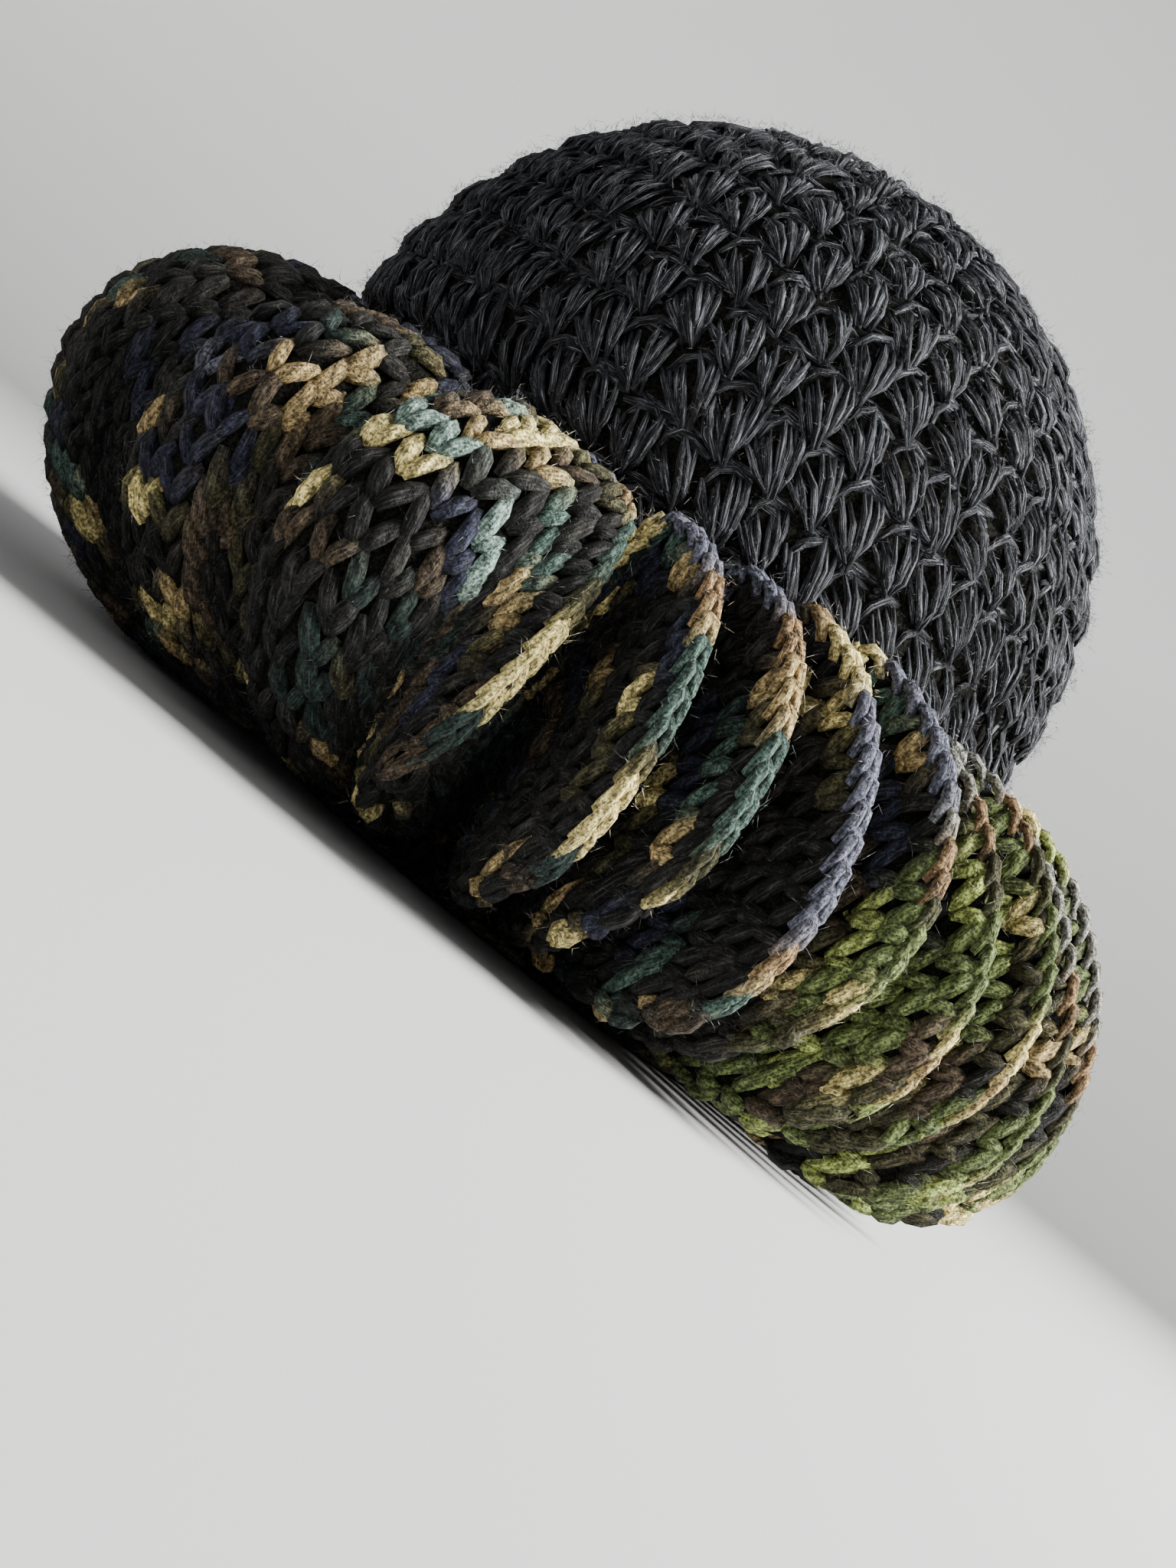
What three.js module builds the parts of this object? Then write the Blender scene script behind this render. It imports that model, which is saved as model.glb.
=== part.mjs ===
// A crochet ruffle hat: a black balloon crown, the camouflage rim band that goes round the head, and a
// deep frill that springs from that band and stands up round the crown in folds.
// Sizes are millimetres. +Z is up, the front of the hat is at -X and its left side is at -Y.
import * as THREE from "three";

// The rim band, which the head goes through.
const HEAD_RADIUS = 92;
const BAND_WALL = 7;
const BAND_HEIGHT = 26;
const ROUND_STEPS = 48;

// The crown: thick puff-stitch crochet, widest where the frill ends.
const CROWN_WALL = 7;
const CROWN_RADIUS = 138;
const WIDEST_HEIGHT = 145;
const CROWN_FLARE_STEPS = 5;
const CROWN_DOME_STEPS = 8;
const PIECE_GAP = 0.4;

// The whole hat leans to its front, from nothing at the rim to this much at the crown's widest and above.
const LEAN_FORWARD = 25;

// The frill, one strip of crochet. Its width runs from the base line, on the band, to the free edge. The
// free edge swings up and down round an arc in the radial plane as the strip goes round the hat, and on
// its way there the strip bends over one point where it folds high and under another where it folds low.
// At the front it closes into broad lobes, which follow the arc all the way from the base line to the top.
const FRILL_THICKNESS = { base: 4.5, edge: 6 };
const BASE_LINE = { out: 102.4, up: 12 };
const EDGE_ARC = { out: 138, up: 70, radius: 68, middle: 24, swing: 58 };
const BEND_OF_HIGH_FOLD = { out: 125, up: 60 };
const BEND_OF_LOW_FOLD = { out: 166, up: -10 };
const FRILL_ROWS = 6;
const COLUMNS_PER_FOLD = 12;

// How square the waves are: 0 is a plain cosine, and near 1 the ways up and down are parallel.
const FOLD_SQUARENESS = 0.75;

// The frill is a little lower at the sides of the hat than at its front and back: this share of its height
// above and below the edge arc's centre is lost there.
const SIDE_SQUASH = 0.12;

// The folds lie over to the back of the left side. The free edge as a whole is swept that way by some
// degrees, and its way down from a high turn bulges by a further share of its fold. Its way up to the next
// one is tucked in behind that bulge by a share of the edge arc's radius.
const EDGE_SWEEP = 5;
const BULGE_ON_WAY_DOWN = 0.6;
const TUCK_ON_WAY_UP = 0.45;

// A lobe's height as a share of the arc's, which keeps it off the plane that the hat rests on, and how
// deep the valleys between lobes are.
const LOBE_HEIGHT = 0.965;
const VALLEY_DEPTH = 22;

// One row for each high fold. centre: its angle round the hat from the left side, towards the back, in
// degrees. rise and reach: how much higher and further out it stands. drop: how much lower or deeper the
// next low fold comes. In millimetres. lobe: how far that low fold is closed, from 0 to 1, which makes
// lobes of the high folds beside it.
const FOLDS = [
  { centre: -87, rise: -6, reach: 8, drop: -17, lobe: 1 },
  { centre: -68, rise: -6, reach: 4, drop: 0, lobe: 1 },
  { centre: -42, rise: -3, reach: 2, drop: -4, lobe: 1 },
  { centre: -25, rise: 0, reach: 0, drop: 4, lobe: 0 },
  { centre: -7, rise: 2, reach: -2, drop: 9, lobe: 0 },
  { centre: 2.5, rise: 3, reach: -1, drop: -4, lobe: 0 },
  { centre: 10.5, rise: 6, reach: 1, drop: 10, lobe: 0 },
  { centre: 20, rise: 8, reach: -1, drop: -8, lobe: 0 },
  { centre: 29.5, rise: 0, reach: -2, drop: 4, lobe: 0 },
  { centre: 38.5, rise: 2, reach: 1, drop: -5, lobe: 0 },
  { centre: 48, rise: -3, reach: 0, drop: 6, lobe: 0 },
  { centre: 57.5, rise: 1, reach: 2, drop: 0, lobe: 0 },
  { centre: 67, rise: -4, reach: 1, drop: 5, lobe: 0 },
  { centre: 77, rise: 0, reach: 2, drop: -2, lobe: 0 },
  { centre: 87.5, rise: -3, reach: 0, drop: 7, lobe: 0 },
  { centre: 98, rise: 2, reach: 1, drop: 0, lobe: 0 },
  { centre: 109, rise: -2, reach: -1, drop: 4, lobe: 0 },
  { centre: 121, rise: 3, reach: 0, drop: -4, lobe: 0 },
  { centre: 134, rise: -3, reach: 2, drop: 8, lobe: 0 },
  { centre: 148, rise: 2, reach: -1, drop: -2, lobe: 0 },
  { centre: 162, rise: -1, reach: 1, drop: 5, lobe: 0 },
  { centre: 176, rise: 4, reach: -2, drop: -5, lobe: 0 },
  { centre: 190, rise: -3, reach: 1, drop: 9, lobe: 0 },
  { centre: 204, rise: 2, reach: 2, drop: 0, lobe: 0 },
  { centre: 218, rise: 4, reach: -1, drop: 6, lobe: 0 },
  { centre: 232, rise: -2, reach: 0, drop: 0, lobe: 0.5 },
  { centre: 251, rise: 0, reach: 4, drop: -4, lobe: 1 },
];

const black = new THREE.MeshStandardMaterial({ color: 0x17171a, roughness: 0.95, metalness: 0 });
const camouflage = new THREE.MeshStandardMaterial({ color: 0x3b3d2b, roughness: 0.95, metalness: 0 });

const mix = THREE.MathUtils.lerp;
const radians = THREE.MathUtils.degToRad;

// How far the hat has leaned towards -X at a height.
function leanAt(height) {
  return -LEAN_FORWARD * Math.min(height / WIDEST_HEIGHT, 1);
}

// Moves every vertex of a geometry by the lean at its height.
function lean(geometry) {
  const position = geometry.getAttribute("position");
  for (let i = 0; i < position.count; i++) {
    position.setX(i, position.getX(i) + leanAt(position.getZ(i)));
  }
  geometry.deleteAttribute("normal");
  geometry.deleteAttribute("uv");
  return geometry;
}

// A body of revolution round +Z from a profile of (radius, height) points.
function turned(profile) {
  return new THREE.LatheGeometry(profile, ROUND_STEPS).rotateX(Math.PI / 2);
}

// The band: a plain ring with a flat underside, which the hat rests on.
function rimBand() {
  const inner = HEAD_RADIUS;
  const outer = HEAD_RADIUS + BAND_WALL;
  const profile = [
    new THREE.Vector2(inner, 0),
    new THREE.Vector2(outer, 0),
    new THREE.Vector2(outer, BAND_HEIGHT),
    new THREE.Vector2(inner, BAND_HEIGHT),
    new THREE.Vector2(inner, 0),
  ];
  return lean(turned(profile));
}

// The crown's profile, a wall's depth inside its outer face: a quarter wave from the band out to the
// widest round, then a round dome.
function crownSide(depth) {
  const bottom = BAND_HEIGHT + PIECE_GAP;
  const start = HEAD_RADIUS + BAND_WALL - depth;
  const widest = CROWN_RADIUS - depth;
  const points = [];
  for (let i = 0; i < CROWN_FLARE_STEPS; i++) {
    const share = i / CROWN_FLARE_STEPS;
    const radius = mix(start, widest, Math.sin((share * Math.PI) / 2));
    points.push(new THREE.Vector2(radius, mix(bottom, WIDEST_HEIGHT, share)));
  }
  for (let i = 0; i <= CROWN_DOME_STEPS; i++) {
    const angle = ((i / CROWN_DOME_STEPS) * Math.PI) / 2;
    const radius = i === CROWN_DOME_STEPS ? 0 : widest * Math.cos(angle);
    points.push(new THREE.Vector2(radius, WIDEST_HEIGHT + widest * Math.sin(angle)));
  }
  return points;
}

// The crown: an open shell, its inner face listed from the top down so that the profile ends on the axis.
function crown() {
  const inside = crownSide(CROWN_WALL).reverse();
  return lean(turned([...inside, ...crownSide(0)]));
}

// The columns of the strip round the hat. Each has its angle, its swing, from 1 at a high fold's turn to -1
// at a low fold's, the bulge and the tuck of its edge, and what its folds' rows in the table say.
function frillColumns() {
  return FOLDS.flatMap((fold, number) => {
    const before = FOLDS[(number + FOLDS.length - 1) % FOLDS.length];
    const next = FOLDS[(number + 1) % FOLDS.length];
    const width = (number + 1 < FOLDS.length ? next.centre : next.centre + 360) - fold.centre;
    return Array.from({ length: COLUMNS_PER_FOLD }, (_, column) => {
      const phase = column / COLUMNS_PER_FOLD;
      const squared = phase + (FOLD_SQUARENESS * Math.sin(4 * Math.PI * phase)) / (4 * Math.PI);
      const swing = Math.cos(2 * Math.PI * phase);
      const wayDown = Math.sin(2 * Math.PI * phase);
      const beside = phase < 0.5 ? before : next;
      return {
        angle: fold.centre + width * squared,
        swing,
        bulge: BULGE_ON_WAY_DOWN * width * Math.max(wayDown, 0) * (1 - fold.lobe),
        tuck: TUCK_ON_WAY_UP * Math.max(-wayDown, 0),
        rise: mix(fold.rise, next.rise, phase),
        reach: mix(fold.reach, next.reach, phase),
        drop: fold.drop,
        lobe: mix(fold.lobe, Math.max(beside.lobe, fold.lobe), (1 + swing) / 2),
      };
    });
  });
}

// Where the strip's middle surface is in the radial plane, in an open fold.
function foldSection({ swing, rise, reach, drop, tuck }, share) {
  const high = (1 + swing) / 2;
  const low = 1 - high;
  const edgeAngle = radians(EDGE_ARC.middle + EDGE_ARC.swing * swing);
  const radius = EDGE_ARC.radius * (1 - tuck);
  const edgeOut = EDGE_ARC.out + (radius + reach) * Math.cos(edgeAngle);
  const edgeUp = EDGE_ARC.up + radius * Math.sin(edgeAngle) + rise * high - drop * low;
  const bendOut = mix(BEND_OF_LOW_FOLD.out, BEND_OF_HIGH_FOLD.out, high);
  const bendUp = mix(BEND_OF_LOW_FOLD.up, BEND_OF_HIGH_FOLD.up, high);
  const rest = 1 - share;
  const [base, bend, edge] = [rest * rest, 2 * share * rest, share * share];
  return {
    out: base * BASE_LINE.out + bend * bendOut + edge * edgeOut,
    up: base * BASE_LINE.up + bend * bendUp + edge * edgeUp,
  };
}

// The same in a closed lobe: round the edge arc's centre, less far out in the valley between two lobes.
function lobeSection({ swing, rise, reach, drop }, share) {
  const low = (1 - swing) / 2;
  const start = Math.atan2(BASE_LINE.up - EDGE_ARC.up, BASE_LINE.out - EDGE_ARC.out);
  const angle = mix(start, radians(EDGE_ARC.middle + EDGE_ARC.swing), share);
  const radius = EDGE_ARC.radius - (VALLEY_DEPTH + drop) * low * low * share * (2 - share);
  return {
    out: EDGE_ARC.out + radius * Math.cos(angle) + reach * Math.sin(Math.PI * share),
    up: EDGE_ARC.up + LOBE_HEIGHT * radius * Math.sin(angle) + rise * share * share,
  };
}

// A point of the strip's middle surface: share is 0 on the base line and 1 on the free edge.
function frillPoint(column, share) {
  const open = foldSection(column, share);
  const closed = lobeSection(column, share);
  const out = mix(open.out, closed.out, column.lobe);
  const up = mix(open.up, closed.up, column.lobe);
  const angle = radians(column.angle + share * share * (EDGE_SWEEP + column.bulge));
  const squash = 1 - SIDE_SQUASH * Math.cos(angle) ** 2;
  const height = EDGE_ARC.up + (up - EDGE_ARC.up) * squash;
  return new THREE.Vector3(out * Math.sin(angle) + leanAt(height), -out * Math.cos(angle), height);
}

// A closed sheet that goes once round, from a grid of its middle surface and a thickness for each row.
function sheetGeometry(grid, thicknesses) {
  const columns = grid.length;
  const rows = grid[0].length;
  const face = [[], []];
  grid.forEach((column, i) => {
    column.forEach((point, j) => {
      const along = grid[(i + 1) % columns][j].clone().sub(grid[(i + columns - 1) % columns][j]);
      const across = column[Math.min(j + 1, rows - 1)].clone().sub(column[Math.max(j - 1, 0)]);
      const normal = along.cross(across).normalize().multiplyScalar(thicknesses[j] / 2);
      face[0].push(point.clone().add(normal));
      face[1].push(point.clone().sub(normal));
    });
  });
  const positions = [...face[0], ...face[1]].flatMap((p) => [p.x, p.y, p.z]);
  const other = columns * rows;
  const at = (i, j) => (i % columns) * rows + j;
  const index = [];
  const quad = (a, b, c, d) => index.push(a, b, c, a, c, d);
  for (let i = 0; i < columns; i++) {
    for (let j = 0; j + 1 < rows; j++) {
      const [a, b, c, d] = [at(i, j), at(i + 1, j), at(i + 1, j + 1), at(i, j + 1)];
      quad(a, b, c, d);
      quad(other + d, other + c, other + b, other + a);
    }
    const last = rows - 1;
    quad(at(i + 1, 0), at(i, 0), other + at(i, 0), other + at(i + 1, 0));
    quad(at(i, last), at(i + 1, last), other + at(i + 1, last), other + at(i, last));
  }
  const geometry = new THREE.BufferGeometry();
  geometry.setAttribute("position", new THREE.Float32BufferAttribute(positions, 3));
  geometry.setIndex(index);
  return geometry;
}

// The frill: the strip in its folds.
function frill() {
  const shares = Array.from({ length: FRILL_ROWS + 1 }, (_, j) => j / FRILL_ROWS);
  const thicknesses = shares.map((share) => mix(FRILL_THICKNESS.base, FRILL_THICKNESS.edge, share));
  const grid = frillColumns().map((column) => shares.map((share) => frillPoint(column, share)));
  return sheetGeometry(grid, thicknesses);
}

// A named mesh of one piece.
function piece(name, geometry, material) {
  const mesh = new THREE.Mesh(geometry, material);
  mesh.name = name;
  return mesh;
}

const hat = new THREE.Group();
hat.add(piece("crown", crown(), black));
hat.add(piece("rim_band", rimBand(), camouflage));
hat.add(piece("ruffle", frill(), camouflage));

// The origin is under the middle of the hat's outline, in the plane that it rests on.
const outline = new THREE.Box3().setFromObject(hat);
const middle = outline.getCenter(new THREE.Vector3());
hat.position.set(-middle.x, -middle.y, -outline.min.z);

export default hat;
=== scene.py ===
"""A crochet ruffle hat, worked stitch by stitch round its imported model.

The hat is a black balloon crown of puff stitches, a camouflage rim band, and a frill: one strip of
crochet that springs from the band and stands round the crown in deep folds. Sizes are metres. +Z is up,
the front of the hat is at -X, and its left side is at -Y, where the camera is.
"""

from __future__ import annotations

import json
import logging
import math
from dataclasses import dataclass, field
from enum import Enum
from functools import cached_property

import bmesh
import bpy
import numpy as np
from mathutils import Matrix, Vector
from mathutils.bvhtree import BVHTree


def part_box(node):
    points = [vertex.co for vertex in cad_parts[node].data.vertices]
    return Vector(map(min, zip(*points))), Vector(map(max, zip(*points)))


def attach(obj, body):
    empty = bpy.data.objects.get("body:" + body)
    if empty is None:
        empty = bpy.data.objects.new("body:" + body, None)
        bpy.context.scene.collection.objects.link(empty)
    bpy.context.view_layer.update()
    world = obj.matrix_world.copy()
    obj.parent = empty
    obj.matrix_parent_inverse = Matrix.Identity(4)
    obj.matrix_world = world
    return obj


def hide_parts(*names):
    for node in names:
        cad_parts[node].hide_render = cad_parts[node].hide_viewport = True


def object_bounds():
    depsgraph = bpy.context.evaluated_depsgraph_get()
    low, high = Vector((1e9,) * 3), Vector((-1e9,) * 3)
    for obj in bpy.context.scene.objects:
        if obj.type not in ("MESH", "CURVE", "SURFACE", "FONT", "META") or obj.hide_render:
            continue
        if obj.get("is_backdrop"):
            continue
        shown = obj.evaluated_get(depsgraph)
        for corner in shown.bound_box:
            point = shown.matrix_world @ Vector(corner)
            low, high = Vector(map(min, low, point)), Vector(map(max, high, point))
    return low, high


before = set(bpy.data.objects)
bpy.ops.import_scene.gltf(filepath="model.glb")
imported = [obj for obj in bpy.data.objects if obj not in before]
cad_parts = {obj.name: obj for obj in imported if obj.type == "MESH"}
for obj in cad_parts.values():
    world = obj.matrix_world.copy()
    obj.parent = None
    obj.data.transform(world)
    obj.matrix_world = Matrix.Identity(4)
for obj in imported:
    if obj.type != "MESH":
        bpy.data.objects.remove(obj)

CAD_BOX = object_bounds()
BODY = "root"
BLACK_SLOT = "black_yarn"
CAMOUFLAGE_SLOT = "camouflage_yarn"
MM = 0.001
QUARTER = 90.0
DYE_ATTRIBUTE = "dye"
WAVE_PERIOD = math.tau / 10
NOISE_SETTINGS = {"Scale": 1.0, "Detail": 3.0, "Roughness": 0.6}

log = logging.getLogger("ruffle_hat")

Array = np.ndarray
Pair = tuple[float, float]
Triple = tuple[float, float, float]
Rgb = Triple
Socket = bpy.types.NodeSocket


class Dye(Enum):
    """The colours that the two yarns are dyed, in linear light. The lavender-grey is navy dye with painted
    sheen, and the pale frosty teal is teal dye with a painted highlight.
    """

    JET = (0.0022, 0.0022, 0.0028)
    BLACK = (0.0072, 0.0071, 0.0069)
    CHARCOAL = (0.014, 0.0138, 0.0115)
    NAVY = (0.017, 0.019, 0.033)
    # Navy yarn with painted sheen: the navy dye, made paler and greyer as its sheen shows.
    NAVY_SHEEN = (0.098, 0.103, 0.135)
    PINE = (0.014, 0.026, 0.022)
    SPRUCE = (0.045, 0.078, 0.063)
    # Teal yarn with a painted highlight: the teal dye, made paler as its lit fibres show.
    LIT_TEAL = (0.15, 0.22, 0.185)
    OLIVE = (0.038, 0.036, 0.016)
    BARK = (0.056, 0.04, 0.024)
    RUST = (0.2, 0.125, 0.06)
    TAN = (0.33, 0.24, 0.105)
    STRAW = (0.6, 0.5, 0.2)
    MOSS = (0.09, 0.118, 0.038)
    LIME = (0.26, 0.31, 0.085)
    SMOKE = (0.2, 0.2, 0.17)


@dataclass(frozen=True)
class Colourway:
    """A space-dyed yarn: its dyes in order, each with the number of stitches that it lasts."""

    runs: tuple[tuple[Dye, int], ...]

    @cached_property
    def repeat(self) -> Array:
        """The colour of each stitch in the yarn's repeat, as (count, 3)."""
        return np.array([dye.value for dye, lasts in self.runs for _ in range(lasts)])

    def stitches(self, count: int, start: float) -> Array:
        """The colours of a row's stitches, from a start in the repeat, given as a share from 0 to 1."""
        first = int(start * len(self.repeat))
        return self.repeat[(first + np.arange(count)) % len(self.repeat)]

    def shares(self, places: Array) -> Array:
        """The colours at places in the repeat, each a share of it from 0 to 1."""
        return self.repeat[np.floor(places * len(self.repeat)).astype(int) % len(self.repeat)]


WOODLAND = Colourway((
    (Dye.BLACK, 4), (Dye.CHARCOAL, 2), (Dye.TAN, 1), (Dye.OLIVE, 1), (Dye.BLACK, 5), (Dye.PINE, 2),
    (Dye.CHARCOAL, 2), (Dye.NAVY, 3), (Dye.BLACK, 3), (Dye.STRAW, 1), (Dye.OLIVE, 2), (Dye.BLACK, 5),
    (Dye.BARK, 3), (Dye.CHARCOAL, 2), (Dye.BLACK, 4), (Dye.PINE, 1), (Dye.SPRUCE, 2), (Dye.TAN, 1),
    (Dye.CHARCOAL, 1), (Dye.NAVY, 2), (Dye.BLACK, 5), (Dye.BARK, 2), (Dye.OLIVE, 1), (Dye.STRAW, 1),
    (Dye.CHARCOAL, 2),
))
MEADOW = Colourway((
    (Dye.BLACK, 2), (Dye.MOSS, 3), (Dye.STRAW, 1), (Dye.OLIVE, 3), (Dye.CHARCOAL, 1), (Dye.MOSS, 3),
    (Dye.TAN, 1), (Dye.BLACK, 2), (Dye.OLIVE, 2), (Dye.LIME, 2), (Dye.MOSS, 2), (Dye.BARK, 2),
    (Dye.OLIVE, 2), (Dye.TAN, 1), (Dye.CHARCOAL, 1), (Dye.MOSS, 2), (Dye.LIME, 1), (Dye.BLACK, 2),
))
WOODLAND_EDGE = Colourway((
    # The run of lavender-grey is painted sheen on navy yarn.
    (Dye.STRAW, 1), (Dye.NAVY_SHEEN, 5), (Dye.RUST, 1), (Dye.TAN, 1), (Dye.SPRUCE, 2), (Dye.OLIVE, 1),
    (Dye.STRAW, 2), (Dye.PINE, 2), (Dye.BARK, 2), (Dye.BLACK, 2), (Dye.TAN, 1), (Dye.SPRUCE, 2),
    (Dye.CHARCOAL, 2), (Dye.RUST, 1), (Dye.STRAW, 2),
))
MEADOW_EDGE = Colourway((
    (Dye.STRAW, 1), (Dye.LIME, 2), (Dye.SMOKE, 3), (Dye.RUST, 1), (Dye.OLIVE, 1), (Dye.MOSS, 2),
    (Dye.STRAW, 1), (Dye.TAN, 1), (Dye.LIME, 2), (Dye.MOSS, 2), (Dye.SMOKE, 2), (Dye.BLACK, 2),
    (Dye.TAN, 1), (Dye.MOSS, 2), (Dye.STRAW, 2),
))


@dataclass(frozen=True)
class Pool:
    """A place where the yarn's dyes gather over several rows, within reach of its centre."""

    centre: Triple
    reach: float
    dyes: tuple[Dye, ...]
    density: float = 1.5

    def dye(self, points: Array, colours: Array, rng: np.random.Generator) -> Array:
        """Dyes the stitches that lie in the pool.

        Args:
            points: where the stitches are.
            colours: the colours that they have, as (count, 3).
            rng: the random numbers.

        Returns:
            The colours with the pool's among them, the most at its centre.
        """
        far = np.linalg.norm(points - np.array(self.centre), axis=1) / self.reach
        here = rng.random(len(points)) < self.density * (1.0 - far)
        palette = np.array([dye.value for dye in self.dyes])
        picked = palette[rng.integers(0, len(palette), len(points))]
        return np.where(here[:, None], picked, colours)


POOLS = (
    # Pale dyes on the crest at the front left; the pale frosty teal among them is a painted highlight on
    # teal yarn.
    Pool((-0.066, -0.174, 0.112), 0.05, (
        Dye.STRAW, Dye.TAN, Dye.LIT_TEAL, Dye.SPRUCE, Dye.LIT_TEAL, Dye.BARK, Dye.STRAW, Dye.CHARCOAL,
    )),
    Pool((-0.066, -0.187, 0.053), 0.042, (
        Dye.BLACK, Dye.BLACK, Dye.CHARCOAL, Dye.BLACK, Dye.PINE, Dye.BLACK, Dye.BARK,
    )),
    Pool((-0.11, -0.162, 0.098), 0.023, (Dye.TAN, Dye.BARK, Dye.BARK)),
    Pool((-0.1, -0.161, 0.052), 0.032, (Dye.BARK, Dye.OLIVE, Dye.BLACK)),
    # This pool's lavender-grey is painted sheen on navy yarn.
    Pool((-0.132, -0.15, 0.108), 0.03, (Dye.NAVY, Dye.NAVY, Dye.BLACK, Dye.NAVY_SHEEN)),
    Pool((0.13, 0.0, 0.14), 0.06, (Dye.LIME, Dye.MOSS, Dye.STRAW)),
)


@dataclass(frozen=True)
class Nodes:
    """Adds nodes to a material's tree."""

    tree: bpy.types.NodeTree

    def add(
        self, kind: str, inputs: dict[str | int, Socket | float | tuple[float, ...]],
        operation: str | None = None,
    ) -> bpy.types.Node:
        """Adds a node.

        Args:
            kind: the node's type, without ShaderNode before it.
            inputs: the socket that is linked to each input, or the constant that it is set to.
            operation: what a maths node does.

        Returns:
            The node.
        """
        node = self.tree.nodes.new(f"ShaderNode{kind}")
        if operation:
            node.operation = operation
        for name, given in inputs.items():
            if isinstance(given, Socket):
                self.tree.links.new(given, node.inputs[name])
            else:
                node.inputs[name].default_value = given
        return node

    def noise(self, place: Socket, scale: Triple) -> Socket:
        """A noise texture with its own scale on each axis."""
        vector = self.add("Mapping", {"Scale": scale, "Vector": place}).outputs[0]
        return self.add("TexNoise", {**NOISE_SETTINGS, "Vector": vector}).outputs["Fac"]

    def ranged(self, value: Socket, of: Pair, to: Pair) -> Socket:
        """A value, moved from one range to another and held there."""
        limits = dict(zip(("From Min", "From Max", "To Min", "To Max"), (*of, *to)))
        return self.add("MapRange", {**limits, "Value": value}).outputs[0]

    def product(self, one: Socket, other: Socket) -> Socket:
        """Two values, multiplied."""
        return self.add("Math", {0: one, 1: other}, "MULTIPLY").outputs[0]

    def scaled(self, colour: Socket, value: Socket) -> Socket:
        """A colour, multiplied by a value."""
        return self.add("VectorMath", {0: colour, "Scale": value}, "SCALE").outputs[0]

    def colour(self, rgb: Rgb) -> Socket:
        """A plain colour.

        Args:
            rgb: the colour, in linear light.

        Returns:
            Its socket.
        """
        plain = self.add("RGB", {}).outputs[0]
        plain.default_value = (*rgb, 1.0)
        return plain


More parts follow.
